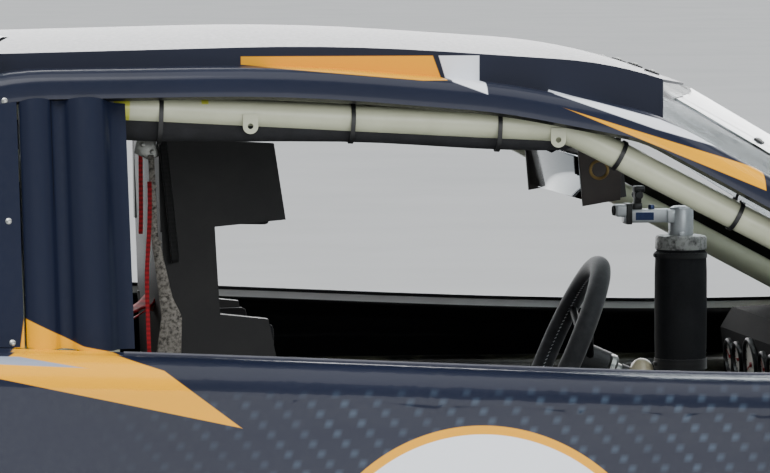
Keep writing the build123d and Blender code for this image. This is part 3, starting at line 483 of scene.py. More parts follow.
# Every CAD node keeps its mesh and gets a finish: those not listed wear the chassis paint
nodeFinish = {
    "nose_panel": noseEnamel, "front_fenders": sideEnamel, "door_skins": sideEnamel,
    "rear_quarters": sideEnamel, "tail_panel": tailEnamel, "cowl_panel": hoodEnamel, "hood": hoodEnamel,
    "decklid": deckEnamel, "roof_rails": roofEnamel, "roof_panel": roofEnamel, "door_posts": postEnamel,
    "quarter_windows": postEnamel, "windshield": clearSheet, "rear_window": clearSheet,
    "roll_cage": tubeEnamel, "floor_pan": blackSheet, "dash_panel": dashSheet,
    "steering_column": blackSheet, "seat": seatShell, "post_pad": foamSkin,
    "rear_view_mirror": blackPlastic, "gear_lever": platedSteel, "halo_pads": foamSkin,
    "rear_axle": castIron, "engine_block": castIron, "radiator": rolledAluminium,
    "fuel_cell": blackSheet, "rear_spoiler": rolledAluminium, "front_splitter": blackPlastic,
    "grille": blackSheet, "steering_wheel": blackSheet, "knuckle_left": castIron,
    "knuckle_right": castIron,
}
for corner in corners:
    nodeFinish["wheel_" + corner] = wheelEnamel
    nodeFinish["tyre_" + corner] = slickRubber
cadMesh = {"weld": 0.02, "sharpDeg": 28.0}
for name, node in nodes.items():
    node.data.materials.clear()
    node.data.materials.append(nodeFinish.get(name, chassisPaint))
    for polygon in node.data.polygons:
        polygon.use_smooth = True
    weld = node.modifiers.new("weld", "WELD")
    weld.merge_threshold = cadMesh["weld"] * mm
    split = node.modifiers.new("sharpEdges", "EDGE_SPLIT")
    split.split_angle = math.radians(cadMesh["sharpDeg"])
print("CAD nodes finished")


# Shape helpers. A part is its own bmesh in millimetres, and addShape moves it into a form in metres.
def alongAxis(start, direction):
    turn = Vector(direction).normalized().to_track_quat("Z", "Y").to_matrix().to_4x4()
    return Matrix.Translation(Vector(start)) @ turn


def addShape(form, part, matrix=None):
    part.transform(matrix or Matrix())
    bmesh.ops.recalc_face_normals(part, faces=part.faces[:])
    part.transform(Matrix.Scale(mm, 4))
    mesh = bpy.data.meshes.new("part")
    part.to_mesh(mesh)
    part.free()
    form.from_mesh(mesh)
    bpy.data.meshes.remove(mesh)


def lathePart(profile, steps=32, closed=True):
    # Spins (along, radius) points about Z; a closed profile gives a ring with walls
    part = bmesh.new()
    made = [part.verts.new((radius, 0.0, along)) for along, radius in profile]
    edges = [part.edges.new(pair) for pair in zip(made, made[1:] + (made[:1] if closed else []))]
    bmesh.ops.spin(part, geom=made + edges, cent=(0, 0, 0), axis=(0, 0, 1), angle=2 * math.pi, steps=steps,
                   use_merge=True)
    bmesh.ops.remove_doubles(part, verts=part.verts[:], dist=1e-4)
    return part


def addTurned(form, profile, place, way, steps=32, closed=False):
    # A turned part that stands on a place, its axis along way
    addShape(form, lathePart(profile, steps, closed), alongAxis(place, way))


def circlePoints(radius, away, count):
    # The round section of a ring, for lathePart: away is the ring's own radius
    turns = [2 * math.pi * i / count for i in range(count)]
    return [(radius * math.sin(turn), away + radius * math.cos(turn)) for turn in turns]


def blockPart(size, bevel=0.0, segments=2):
    part = bmesh.new()
    bmesh.ops.create_cube(part, size=1.0)
    bmesh.ops.scale(part, vec=Vector(size), verts=part.verts[:])
    if bevel:
        bmesh.ops.bevel(part, geom=part.edges[:], offset=bevel, segments=segments, profile=0.5,
                        affect="EDGES", material=-1)
    return part


def slabPart(outline, thick, bevel=0.0, segments=2):
    # A plate over an outline in its own XY, grown along Z, with its rims eased; edgewise stands it up in XZ
    part = bmesh.new()
    face = part.faces.new([part.verts.new((x, y, 0.0)) for x, y in outline])
    grown = bmesh.ops.extrude_face_region(part, geom=[face])["geom"]
    raised = [item for item in grown if isinstance(item, bmesh.types.BMVert)]
    bmesh.ops.translate(part, vec=(0, 0, thick), verts=raised)
    if bevel:
        rims = [edge for edge in part.edges if abs(edge.verts[0].co.z - edge.verts[1].co.z) < 1e-6]
        bmesh.ops.bevel(part, geom=rims, offset=bevel, segments=segments, profile=0.5, affect="EDGES",
                        material=-1)
    return part


def coilPart(radius, wire, height, turns, sections=8, stepsPerTurn=20):
    # A round wire wound up Z
    steps = int(turns * stepsPerTurn)
    part = bmesh.new()
    ring = bmesh.ops.create_circle(part, segments=sections, radius=wire,
                                   matrix=Matrix.Translation((radius, 0, 0))
                                   @ Matrix.Rotation(math.pi / 2, 4, "X"))
    edges = list({edge for vert in ring["verts"] for edge in vert.link_edges})
    bmesh.ops.spin(part, geom=ring["verts"] + edges, cent=(0, 0, 0), axis=(0, 0, 1),
                   dvec=(0, 0, height / steps), angle=2 * math.pi * turns, steps=steps, use_merge=False)
    ends = [edge for edge in part.edges if edge.is_boundary]
    bmesh.ops.holes_fill(part, edges=ends, sides=0)
    return part


def finishPiece(name, form, material, body="chassis", sharpDeg=35.0):
    mesh = bpy.data.meshes.new(name)
    form.to_mesh(mesh)
    form.free()
    for polygon in mesh.polygons:
        polygon.use_smooth = True
    mesh.set_sharp_from_angle(angle=math.radians(sharpDeg))
    mesh.materials.append(material)
    piece = bpy.data.objects.new(name, mesh)
    bpy.context.scene.collection.objects.link(piece)
    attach(piece, body)
    return piece


def bridgeRings(form, loops):
    for first, second in zip(loops, loops[1:]):
        bmesh.ops.bridge_loops(form, edges=first + second)


def ringSkin(places, segments):
    # A closed skin over rings of radius 1, each stretched and put in place by its matrix in millimetres
    form, loops = bmesh.new(), []
    for i, place in enumerate(places):
        atEnd = i in (0, len(places) - 1)
        ring = bmesh.ops.create_circle(form, segments=segments, radius=1.0, cap_ends=atEnd)["verts"]
        bmesh.ops.transform(form, matrix=place, verts=ring)
        loops.append(list({edge for vert in ring for edge in vert.link_edges
                           if edge.other_vert(vert) in ring}))
    bridgeRings(form, loops)
    whole = bmesh.new()
    addShape(whole, form)
    return whole


def rounded(piece):
    smooth = piece.modifiers.new("rounding", "SUBSURF")
    smooth.levels = smooth.render_levels = 1
    return piece


def ribbonPiece(name, rungs, thick, material, sharpDeg):
    # A strap from its rungs, each a row of places in metres, with an even thickness in millimetres
    form = bmesh.new()
    rows = [[form.verts.new(place) for place in rung] for rung in rungs]
    for lower, upper in zip(rows, rows[1:]):
        for i in range(len(lower) - 1):
            form.faces.new((lower[i], lower[i + 1], upper[i + 1], upper[i]))
    bmesh.ops.recalc_face_normals(form, faces=form.faces[:])
    piece = finishPiece(name, form, material, sharpDeg=sharpDeg)
    wall = piece.modifiers.new("thickness", "SOLIDIFY")
    wall.thickness, wall.offset = thick * mm, 0.0


def skinPoint(names, start, direction):
    # Where a line first meets the named CAD nodes: the place and the outward normal in millimetres, or None
    best = None
    for name in names:
        if name not in skinTrees:
            skin = bmesh.new()
            skin.from_mesh(nodes[name].data)
            skinTrees[name] = BVHTree.FromBMesh(skin)
            skin.free()
        place, normal, index, reach = skinTrees[name].ray_cast(Vector(start) * mm,
                                                               Vector(direction).normalized())
        if place and (best is None or reach < best[2]):
            best = (place / mm, normal if normal.dot(Vector(direction)) < 0 else -normal, reach)
    return best[:2] if best else None


skinTrees = {}
edgewise = Matrix.Rotation(math.pi / 2, 4, "X")
# Heights and widths outside the whole car, from which lines of sight start
sky, aside = 1700, 1300
down = (0, 0, -1)

# Tyres and wheels
tyre = {"radius": 355.0, "bead": 191.0, "beadHalf": 117.0, "bulge": 140.0}
wheelParts = {"nuts": 5, "nutCircle": 66.0, "nutRadius": 12.5, "nutTall": 18.0, "discFace": 30.0,
              "capFace": 54.0, "valve": (172.0, 38.0)}


def wheelCentre(corner):
    low, high = (Vector(v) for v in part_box("tyre_" + corner))
    return (low + high) / 2 / mm


def addTyre(corner):
    half, radius = tyre["bulge"], tyre["radius"]
    face = [(tyre["beadHalf"], tyre["bead"]), (tyre["beadHalf"] + 9, tyre["bead"] + 4),
            (tyre["beadHalf"] + 11, 206), (half - 5, 226), (half - 1, 252), (half, 275), (half - 2, 300),
            (half - 7, 318), (half - 9, 320), (half - 10, 323), (half - 12, 332), (half - 17, 342),
            (half - 27, 350.5), (half - 42, radius - 0.6), (0, radius)]
    profile = [(-along, r) for along, r in face] + [(along, r) for along, r in face[-2::-1]]
    form = bmesh.new()
    addTurned(form, profile, wheelCentre(corner), (0, 1, 0), 72, True)
    piece = finishPiece("tyre_" + corner + "_skin", form, slickRubber, "wheel_" + corner, 50)
    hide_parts("tyre_" + corner)


def addWheelDetail(corner):
    side = 1 if corner.endswith("left") else -1
    centre, form = wheelCentre(corner), bmesh.new()
    out = Vector((0, side, 0))
    r, tall = wheelParts["nutRadius"], wheelParts["nutTall"]
    nut = [(0, 0), (0, r * 1.25), (3, r * 1.25), (4, r), (tall - 2, r), (tall, r - 2.5), (tall, 6),
           (tall + 9, 6), (tall + 10, 0)]
    for i in range(wheelParts["nuts"]):
        turn = 2 * math.pi * i / wheelParts["nuts"] + 0.3
        foot = centre + Vector((math.cos(turn), 0, math.sin(turn))) * wheelParts["nutCircle"]
        addTurned(form, nut, foot + out * (wheelParts["discFace"] - 1), out, 6)
    cap = [(0, 0), (0, 40), (6, 40), (8, 36), (14, 33), (17, 28), (18, 0)]
    addTurned(form, cap, centre + out * wheelParts["capFace"], out)
    finishPiece("lugNuts_" + corner, form, platedSteel, "wheel_" + corner, sharpDeg=30)
    form = bmesh.new()
    stem = [(0, 0), (0, 6), (10, 6), (12, 4.2), (30, 4.2), (31, 5), (40, 5), (41, 0)]
    up, beside = wheelParts["valve"]
    place = centre + Vector((0, 0, up)) + out * beside
    addTurned(form, stem, place, Vector((0, side * 0.6, -0.8)), 12)
    finishPiece("valveStem_" + corner, form, slickRubber, "wheel_" + corner)


for corner in corners:
    addTyre(corner)
    addWheelDetail(corner)
print("tyres and wheels dressed")

# Steering wheel: a suede-wrapped grip over the steel rim, its stitched seam inside, and the quick release
steering = {"grip": 18.2, "rim": 165.0, "stitches": 132, "hub": 48.0}
columnAxis = Vector((0.9141305, -0.0639222, -0.4003490))
rimCentre = Vector((349.0, 395.0, 779.0))


def addSteering():
    to = alongAxis(rimCentre, columnAxis)
    form, ring = bmesh.new(), circlePoints(steering["grip"], steering["rim"], 20)
    addShape(form, lathePart(ring, steps=72), to)
    finishPiece("rimWrap", form, suedeWrap, "steering_wheel")
    form, middle = bmesh.new(), steering["rim"] - steering["grip"] - 0.1
    for i in range(steering["stitches"]):
        turn = Matrix.Rotation(2 * math.pi * i / steering["stitches"], 4, "Z")
        stitch = blockPart((1.6, 4.6, 1.6), 0.5, 1)
        stitch.transform(turn @ Matrix.Translation((middle, 0, 0)) @ Matrix.Rotation(0.5, 4, "X"))
        addShape(form, stitch, to)
    finishPiece("rimStitches", form, whitePaint, "steering_wheel")
    form = bmesh.new()
    hub = rimCentre + columnAxis * steering["hub"]
    pad = [(-12, 0), (-12, 40), (-14, 43), (-22, 44), (-26, 40), (-27, 30), (-27, 0)]
    addTurned(form, pad, hub, columnAxis, 40)
    finishPiece("hubPad", form, foamSkin, "steering_wheel")
    form = bmesh.new()
    collar = [(34, 0), (34, 30), (38, 33), (46, 33), (50, 30), (51, 22), (70, 21), (70, 0)]
    addTurned(form, collar, hub, columnAxis)
    finishPiece("quickRelease", form, platedSteel, "steering_wheel", sharpDeg=30)


addSteering()
print("steering wheel dressed")

# Seat: padded inserts in the aluminium shell, head pads and the harness
cushions = (
    # name, size (x, y, z), middle, tilt in degrees about Y, crown
    ("seatBackPad", (34, 330, 500), (-326, 400, 720), -6.0, 12.0),
    ("seatBasePad", (330, 330, 36), (-120, 400, 368), -4.0, 10.0),
    ("headRest", (30, 240, 170), (-333, 400, 1080), 0.0, 8.0),
    ("leftHeadPad", (150, 24, 130), (-270, 590, 1085), 0.0, 7.0),
    ("rightHeadPad", (150, 24, 130), (-270, 210, 1085), 0.0, 7.0),
    ("leftRibPad", (150, 22, 220), (-262, 592, 740), 0.0, 7.0),
    ("rightRibPad", (150, 22, 220), (-262, 208, 740), 0.0, 7.0),
)


def addCushion(name, size, middle, tilt, crown):
    # A closed crowned pad: its faces swell, its sides pull in between the corners
    form = blockPart(size, 0.0)
    bmesh.ops.subdivide_edges(form, edges=form.edges[:], cuts=9, use_grid_fill=True)
    thin = min(range(3), key=lambda axis: size[axis])
    for vert in form.verts:
        share = [2 * vert.co[axis] / size[axis] for axis in range(3)]
        wide = [axis for axis in range(3) if axis != thin]
        swell = (1 - share[wide[0]] ** 2) * (1 - share[wide[1]] ** 2)
        vert.co[thin] += math.copysign(crown * 0.5 * swell ** 0.6 if swell > 0 else 0.0, vert.co[thin])
        for axis, other in (wide, wide[::-1]):
            vert.co[axis] *= 1 - 0.02 * (1 - share[other] ** 2) * abs(share[axis])
        channel = math.cos(share[wide[1]] * math.pi * 2.5)
        groove = 1.6 * max(0.0, channel) ** 6 * (swell ** 0.5 if swell > 0 else 0)
        vert.co[thin] -= math.copysign(groove, vert.co[thin])
    whole = bmesh.new()
    addShape(whole, form, Matrix.Translation(Vector(middle)) @ Matrix.Rotation(math.radians(tilt), 4, "Y"))
    piece = rounded(finishPiece(name, whole, seatCloth, "chassis", 60))


for cushion in cushions:
    addCushion(*cushion)


def addStrap(name, width, points, look, material, thick=2.2):
    # Webbing swept along a smooth line, its width kept square to the line and to the way it looks
    data = bpy.data.curves.new(name, "CURVE")
    data.dimensions = "3D"
    line = data.splines.new("NURBS")
    line.points.add(len(points) - 1)
    for point, place in zip(line.points, points):
        point.co = (*[v * mm for v in place], 1.0)
    line.order_u = 4
    line.use_endpoint_u = True
    line.resolution_u = 6
    holder = bpy.data.objects.new(name + "Line", data)
    bpy.context.scene.collection.objects.link(holder)
    bpy.context.view_layer.update()
    path = bpy.data.meshes.new_from_object(holder.evaluated_get(bpy.context.evaluated_depsgraph_get()))
    route = [vert.co / mm for vert in path.vertices]
    bpy.data.objects.remove(holder)
    rungs = []
    for i, place in enumerate(route):
        along = (route[min(i + 1, len(route) - 1)] - route[max(i - 1, 0)]).normalized()
        across = along.cross(Vector(look)).normalized() * width / 2
        rungs.append([(place + across * share) * mm for share in (-1, -0.5, 0, 0.5, 1)])
    ribbonPiece(name, rungs, thick, material, 35.0)


# Belts: the shoulder belts are given as (x, away from the seat's middle, z), the others as (x, y, z)
belts = {
    "width": 50.0, "middle": 400,
    "shoulder": ((-540, 55, 772), (-400, 55, 860), (-345, 52, 900), (-300, 48, 840), (-286, 40, 640),
                 (-225, 12, 470), (-170, 2, 410)),
    "lap": ((-240, 590, 360), (-215, 560, 400), (-180, 480, 418), (-165, 400, 424), (-180, 320, 418),
            (-215, 240, 400), (-240, 210, 360)),
    # behind the seat, past its edge: red webbing with a black pull strap
    "hanging": ((-418, 172, 1176), (-420, 172, 1120), (-417, 172, 1060), (-419, 172, 1008)),
    "second": ((-406, 150, 1098), (-404, 150, 1040), (-412, 150, 960), (-411, 150, 905), (-407, 150, 800)),
    "pull": ((-384, 150, 1172), (-376, 150, 1100), (-366, 150, 1010), (-362, 150, 960)),
}
for name, side in sides.items():
    points = [(x, belts["middle"] + side * away, z) for x, away, z in belts["shoulder"]]
    addStrap(name + "ShoulderBelt", belts["width"], points, (1, 0, 0.4), redWebbing)
addStrap("lapBelt", belts["width"], belts["lap"], (0.6, 0, 1), redWebbing)


def addSeatHardware():
    # The seat's side rail, a slotted alloy strip up its right flank, and the belt brackets beside it
    form = bmesh.new()
    strip = slabPart([(-396, 790), (-352, 790), (-350, 868), (-366, 900), (-391, 1010), (-397, 1142),
                      (-407, 1142), (-403, 1010), (-385, 868)], 7.0, 1.5)
    addShape(form, strip, Matrix.Translation((0, 164, 0)) @ edgewise)
    for i in range(4):
        at = Vector((-372, 157, 800)).lerp(Vector((-398, 157, 1090)), i / 3)
        addTurned(form, [(0, 0), (0, 5.5), (2.6, 5), (3.6, 0)], at, (0, -1, 0), 6)
    finishPiece("seatRail", form, mottledRail, sharpDeg=30)
    form = bmesh.new()
    bracket = slabPart([(-425, 1173), (-392, 1168), (-386, 1142), (-403, 1132), (-430, 1146)], 5.0, 1.5)
    addShape(form, bracket, Matrix.Translation((0, 168, 0)) @ edgewise)
    for x, z in ((-416, 1160), (-400, 1148)):
        addTurned(form, [(0, 0), (0, 4.5), (3, 4), (4, 0)], (x, 163, z), (0, -1, 0), 6)
    finishPiece("seatBracket", form, platedSteel, sharpDeg=30)


mottledRail = plainFinish("weatheredAlloy", "#A8A39A", 0.5, {"Metallic": 0.3}, dark="#1E1B17",
                          mottle=(6.0, 1.0), rough=(0.4, 0.65), grain=(1.5, 0.08))
addSeatHardware()
addStrap("hangingBelt", 7.0, belts["hanging"], (0.1, -1, 0), redWebbing)
addStrap("secondBelt", 7.0, belts["second"], (0.1, -1, 0), redWebbing)
addStrap("pullStrap", 14.0, belts["pull"], (0.3, -1, 0), blackWebbing, 2.0)


def addBuckle():
    form, to = bmesh.new(), alongAxis((-160, 400, 428), (0.55, 0, 1))
    hub = [(0, 0), (0, 33), (4, 36), (14, 36), (18, 32), (19, 0)]
    addShape(form, lathePart(hub, steps=36, closed=False), to)
    for i in range(4):
        tongue = blockPart((34, 24, 4), 2, 2)
        tongue.transform(Matrix.Rotation(i * math.pi / 2, 4, "Z") @ Matrix.Translation((44, 0, 8)))
        addShape(form, tongue, to)
    finishPiece("harnessBuckle", form, platedSteel, sharpDeg=30)


addBuckle()
print("seat and harness dressed")

# Halo pads: foam laid under each side tube of the cage, held by cable ties
halo = {
    "rear": (-560.0, 590.0, 1252.5), "corner": (171.0, 600.0, 1216.3), "foot": (885.0, 716.0, 844.0),
    "tube": 22.25, "padHalf": 20.0, "padY": 586.0, "ties": (-467.0, -167.0, 64.0, 254.0, 435.0),
    "tieWidth": 7.0,
    # x, lowest and highest z of the foam
    "pad": ((-545, 1212, 1236), (-538, 1202, 1244), (-500, 1198, 1246), (-360, 1197, 1240),
            (-170, 1197, 1230), (-60, 1190, 1224), (37, 1183, 1217), (120, 1180, 1212), (178, 1180, 1208),
            (190, 1186, 1204)),
}


def haloPoint(x, side):
    # Middle of the side tube at x, and its direction there
    start, end = (halo["rear"], halo["corner"]) if x < halo["corner"][0] else (halo["corner"], halo["foot"])
    share = (x - start[0]) / (end[0] - start[0])
    place = Vector(start).lerp(Vector(end), share)
    way = Vector(end) - Vector(start)
    return Vector((place.x, place.y * side, place.z)), Vector((way.x, way.y * side, way.z)).normalized()


def addHaloPad(name, side):
    places, last = [], len(halo["pad"]) - 1
    for i, (x, low, high) in enumerate(halo["pad"]):
        half = halo["padHalf"] * (0.8 if i in (0, last) else 1.0)
        place = Matrix.Translation((x, side * halo["padY"], (low + high) / 2))
        place = place @ Matrix.Rotation(math.pi / 2, 4, "Y")
        places.append(place @ Matrix.Diagonal(((high - low) / 2, half, 1, 1)))
    piece = rounded(finishPiece(name, ringSkin(places, 24), foamSkin, "chassis", 60))
    return piece


def addTies(name, side):
    form = bmesh.new()
    for i, x in enumerate(halo["ties"]):
        middle, way = haloPoint(x, side)
        spans = zip(halo["pad"], halo["pad"][1:])
        low = next((first[1] for first, second in spans if first[0] <= x < second[0]), None)
        top = middle.z + halo["tube"] + 1.6
        bottom = (low if low else middle.z - halo["tube"]) - 1.8
        half = halo["tieWidth"] / 2
        ring = lathePart([(-half, 1.0), (-half, 1.06), (half, 1.06), (half, 1.0)], steps=40)
        tall = (top - bottom) / 2
        ring.transform(Matrix.Diagonal((tall, halo["tube"] + 1.8, 1, 1)))
        ring.transform(Matrix.Rotation(math.atan2(-way.z, way.x) + math.pi / 2, 4, "Y"))
        addShape(form, ring, Matrix.Translation((middle.x, middle.y, (top + bottom) / 2)))
        head = blockPart((7.5, 6.0, 8.0), 1.2, 2)
        addShape(form, head, Matrix.Translation((middle.x, middle.y - side * 2, top + 1.5)))
        tail = blockPart((4.6, 1.2, 34.0), 0.4, 1)
        lean = Matrix.Rotation(0.5 * (1 if i % 2 else -1), 4, "X") @ Matrix.Rotation(0.25 * (i - 2), 4, "Y")
        addShape(form, tail, Matrix.Translation((middle.x, middle.y - side * 2, top + 1)) @ lean
                 @ Matrix.Translation((0, 0, 15)))
    finishPiece(name, form, blackPlastic, "chassis")


haloSkins = []
for name, side in sides.items():
    haloSkins.append(addHaloPad(name + "HaloPad", side))
    addTies(name + "CableTies", side)
for piece in haloSkins:
    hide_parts("halo_pads")
print("halo pads and ties laid")

# Mirror: glass on the face towards the seat, an end plate each side and a ring on it
mirror = {"section": ((256, 1166), (329, 1154), (327, 1083), (300, 1079), (264, 1073)), "half": 250.0,
          "capThick": 7.0, "ring": (291.0, 1133.0, 15.0), "glass": (3.0, 482.0, 74.0), "glassX": 262.8,
          "glassZ": 1120.0, "lean": math.atan2(8, 84)}


def addMirror():
    form = bmesh.new()
    for side in (-1, 1):
        cap = slabPart(mirror["section"], mirror["capThick"], 2.0)
        turn = Matrix.Translation((0, side * mirror["half"] + (mirror["capThick"] if side > 0 else 0), 0))
        addShape(form, cap, turn @ edgewise)
    finishPiece("mirrorEndCaps", form, brownPlastic, "chassis", 30)
    form = bmesh.new()
    x, z, radius = mirror["ring"]
    for side in (-1, 1):
        ring = [(0, radius - 3.2), (0, radius + 2.2), (2.4, radius + 1.4), (3.4, radius - 0.8),
                (2.4, radius - 2.6)]
        start = (x, side * (mirror["half"] + mirror["capThick"] - 0.4), z)
        addTurned(form, ring, start, (0, side, 0), 36, True)
    finishPiece("mirrorKnobRings", form, agedBrass, sharpDeg=40)
    form = bmesh.new()
    place = Matrix.Translation((mirror["glassX"], 0, mirror["glassZ"]))
    addShape(form, blockPart(mirror["glass"], 1.2, 2), place @ Matrix.Rotation(-mirror["lean"], 4, "Y"))
    finishPiece("mirrorGlass", form, mirrorGlass, sharpDeg=30)


brownPlastic = plainFinish("brownMouldedPlastic", "#2B2320", 0.5, dark="#3C312B", mottle=(25.0, 0.35),
                           rough=(0.4, 0.6), grain=(1.0, 0.05))
agedBrass = plainFinish("agedBrass", "#9A8150", 0.4, {"Metallic": 0.8}, dark="#5F5134", mottle=(8.0, 0.35),
                        rough=(0.3, 0.55), grain=(0.8, 0.02))
addMirror()
print("mirror dressed")

# Camera bar in a clamp on its post, with the foam sleeve round the post
cameraPost = {
    "x": 481.0, "radius": 16.0, "fittingRadius": 21.0, "fitting": (1007.0, 1058.0),
    # lowest and highest x, half width, lowest and highest z
    "rearBox": (367.0, 389.0, 17.0, 1041.0, 1061.0), "bar": (381.0, 462.0, 14.0, 1030.5, 1053.0),
    "band": (384.0, 394.0, 19.0, 1028.0, 1063.0),
    # blocks on the band: size, ease of the edges, middle
    "blocks": (((15.0, 22.0, 12.0), 2.0, (405, 0, 1058)), ((12.0, 16.0, 24.0), 2.5, (406, 0, 1074)),
               ((19.0, 20.0, 11.0), 3.0, (408, 0, 1087))),
    "sleeve": (775.0, 1008.0), "sleeveRadius": 43.0,
}


def addBox(form, box, bevel=2.0):
    x0, x1, half, z0, z1 = box
    addShape(form, blockPart((x1 - x0, 2 * half, z1 - z0), bevel, 3),
             Matrix.Translation(((x0 + x1) / 2, 0, (z0 + z1) / 2)))


def addCameraBar():
    x, (low, high), r = cameraPost["x"], cameraPost["fitting"], cameraPost["fittingRadius"]
    form = bmesh.new()
    addBox(form, cameraPost["rearBox"], 3.0)
    addBox(form, cameraPost["bar"], 3.0)
    finishPiece("cameraBody", form, paleAnodised, sharpDeg=30)
    form = bmesh.new()
    post = [(445, 0), (445, cameraPost["radius"]), (low, cameraPost["radius"]), (low, r - 1), (low + 2, r),
            (low + 9, r), (low + 9, r - 1.5), (low + 11, r - 1.5), (low + 11, r), (high - 8, r),
            (high - 3, r - 2.5), (high, r - 8), (high, 0)]
    addShape(form, lathePart(post, steps=40, closed=False), Matrix.Translation((x, 0, 0)))
    addShape(form, blockPart((9, 10, 9), 1.5, 2), Matrix.Translation((x - 4, -r - 3, low + 5)))
    addShape(form, blockPart((14, 36, 22), 2.5, 2), Matrix.Translation((x - 20, 0, 1041)))
    post = finishPiece("cameraPost", form, paleAnodised, sharpDeg=30)
    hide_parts("camera_mount")
    form = bmesh.new()
    addBox(form, cameraPost["band"], 1.5)
    middle = Vector((cameraPost["rearBox"][0], 0, 1051))
    lens = [(-3, 0), (-3, 8.5), (3, 8.5), (4, 7.5), (4, 6.5), (1.5, 6), (1.5, 0)]
    addTurned(form, lens, middle, (-1, 0, 0))
    for size, bevel, place in cameraPost["blocks"]:
        addShape(form, blockPart(size, bevel, 2), Matrix.Translation(place))
    for side in (-1, 1):
        knob = [(0, 0), (0, 6), (2, 7.5), (6, 7.5), (8, 6), (8, 0)]
        addTurned(form, knob, (406, side * 8, 1077), (0, side, 0), 12)
    finishPiece("cameraMountParts", form, blackPlastic, "chassis", 30)
    form = bmesh.new()
    addTurned(form, [(0, 0), (0, 5.5), (6, 5.5), (8, 4.5), (8, 0)], (430, 0, 1052.5), (0, 0, 1), 10)
    finishPiece("cameraThumbScrew", form, blueAnodised, sharpDeg=30)
    form = bmesh.new()
    for side in (-1, 1):
        addShape(form, blockPart((31.0, 0.8, 13.0), 0.3, 1), Matrix.Translation((416, side * 14.2, 1041.5)))
    finishPiece("blankPlates", form, blueAnodised)
    form = bmesh.new()
    glass = [(1.2, 0), (1.2, 6.2), (2.0, 5), (2.8, 0)]
    addTurned(form, glass, middle, (-1, 0, 0))
    finishPiece("cameraLens", form, lampGlass)


def addPostSleeve():
    low, high = cameraPost["sleeve"]
    r, form, at = cameraPost["sleeveRadius"], bmesh.new(), Matrix.Translation((cameraPost["x"], 0, 0))
    profile = [(low, 17), (low, r - 7), (low + 2, r - 2.6), (low + 7, r), (low + 60, r + 1.2),
               ((low + high) / 2, r + 1.4), (high - 60, r + 1.2), (high - 28, r), (high - 26, r - 2),
               (high - 24, r - 1), (high - 6, r - 1), (high - 2, r - 3), (high, r - 7), (high, 17)]
    addShape(form, lathePart(profile, steps=56), at)
    sleeve = finishPiece("postSleeve", form, foamSkin, "chassis", 50)
    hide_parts("post_pad")
    form = bmesh.new()
    for z, wide in ((low + 16, 18.0), (high - 33, 9.0)):
        band = [(z - wide / 2, r - 1), (z - wide / 2, r + 1.8), (z + wide / 2, r + 1.8),
                (z + wide / 2, r - 1)]
        addShape(form, lathePart(band, steps=56), at)
        addShape(form, blockPart((7.0, 14.0, 7.0), 2.0, 2),
                 Matrix.Translation((cameraPost["x"] - r - 1.5, -6, z)))
    finishPiece("postStraps", form, blackWebbing)
    form = bmesh.new()
    ring = [(high - 23, r - 2), (high - 23, r + 0.6), (high - 4, r + 0.4), (high - 0.6, r - 2),
            (high + 0.8, r - 7), (high + 0.8, 20), (high - 3, 20)]
    addShape(form, lathePart(ring, steps=56), at)
    finishPiece("postCollar", form, mottledPlate)


blueAnodised = plainFinish("blueAnodised", "#26365E", 0.35, {"Metallic": 0.6}, dark="#1A2440",
                           mottle=(10.0, 0.35), rough=(0.3, 0.45), grain=(0.8, 0.01))
lampGlass = plainFinish("smokedLens", "#0B0D12", 0.06, {"Coat_Weight": 1.0, "Coat_Roughness": 0.02},
                        rough=(0.04, 0.08), grain=(30.0, 0.001))
mottledPlate = plainFinish("mottledTape", "#A3A4A0", 0.6, dark="#1C1C1B", mottle=(9.0, 0.95),
                           rough=(0.35, 0.6), grain=(1.2, 0.05))
addCameraBar()
addPostSleeve()

# Gear lever: cream ball on a steel rod out of a creased leather boot
lever = {"foot": (400.0, 20.0), "knob": (418.0, 20.0, 778.0), "knobRadius": 20.5, "base": (126.0, 86.0),
         "baseZ": (428.0, 462.0)}


def addLever():
    (x, y), (low, high), r = lever["foot"], lever["baseZ"], lever["knobRadius"]
    foot, knob = Vector((x, y, high + 6)), Vector(lever["knob"])
    form, way, reach = bmesh.new(), (knob - foot).normalized(), (knob - foot).length
    addTurned(form, [(0, 0), (0, 9.2), (250, 7), (reach, 7), (reach, 0)], foot, way, 20)
    addTurned(form, [(0, 0), (0, 12), (3, 13.5), (12, 13.5), (15, 12), (15, 0)], knob - way * 36, way, 6)
    rod = finishPiece("leverRod", form, platedSteel, sharpDeg=30)
    form = bmesh.new()
    turns = [0.5 + 0.22 * i for i in range(12)]
    ball = [(-r, 0), (-r, 8)] + [(-r * math.cos(turn), r * math.sin(turn)) for turn in turns] + [(r, 0)]
    addTurned(form, ball, knob, way)
    finishPiece("leverKnob", form, creamPlastic)
    places = []
    for i in range(13):
        share, crease = i / 12, 1 + 0.07 * math.cos(i * math.pi)
        wide = (1 - share) ** 1.3
        size = (11 + 50 * wide * crease, 11 + 30 * wide * crease)
        middle = Matrix.Translation((x + 4 * share, y, high - 2 + 92 * share))
        places.append(middle @ Matrix.Diagonal((*size, 1, 1)))
    rounded(finishPiece("leverBoot", ringSkin(places, 40), bootLeather, sharpDeg=80))
    form = bmesh.new()
    addShape(form, blockPart((*lever["base"], high - low), 5.0, 2),
             Matrix.Translation((x, y, (low + high) / 2)))
    for dx, dy in ((-55, -35), (-55, 35), (55, -35), (55, 35)):
        addTurned(form, [(0, 0), (0, 5), (2, 4.4), (3, 0)], (x + dx, y + dy, high - 0.3), (0, 0, 1), 12)
    plate = finishPiece("leverPlate", form, blackSheet, sharpDeg=30)
    for piece in (rod, plate):
        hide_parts("gear_lever")


addLever()
print("camera post and gear lever dressed")

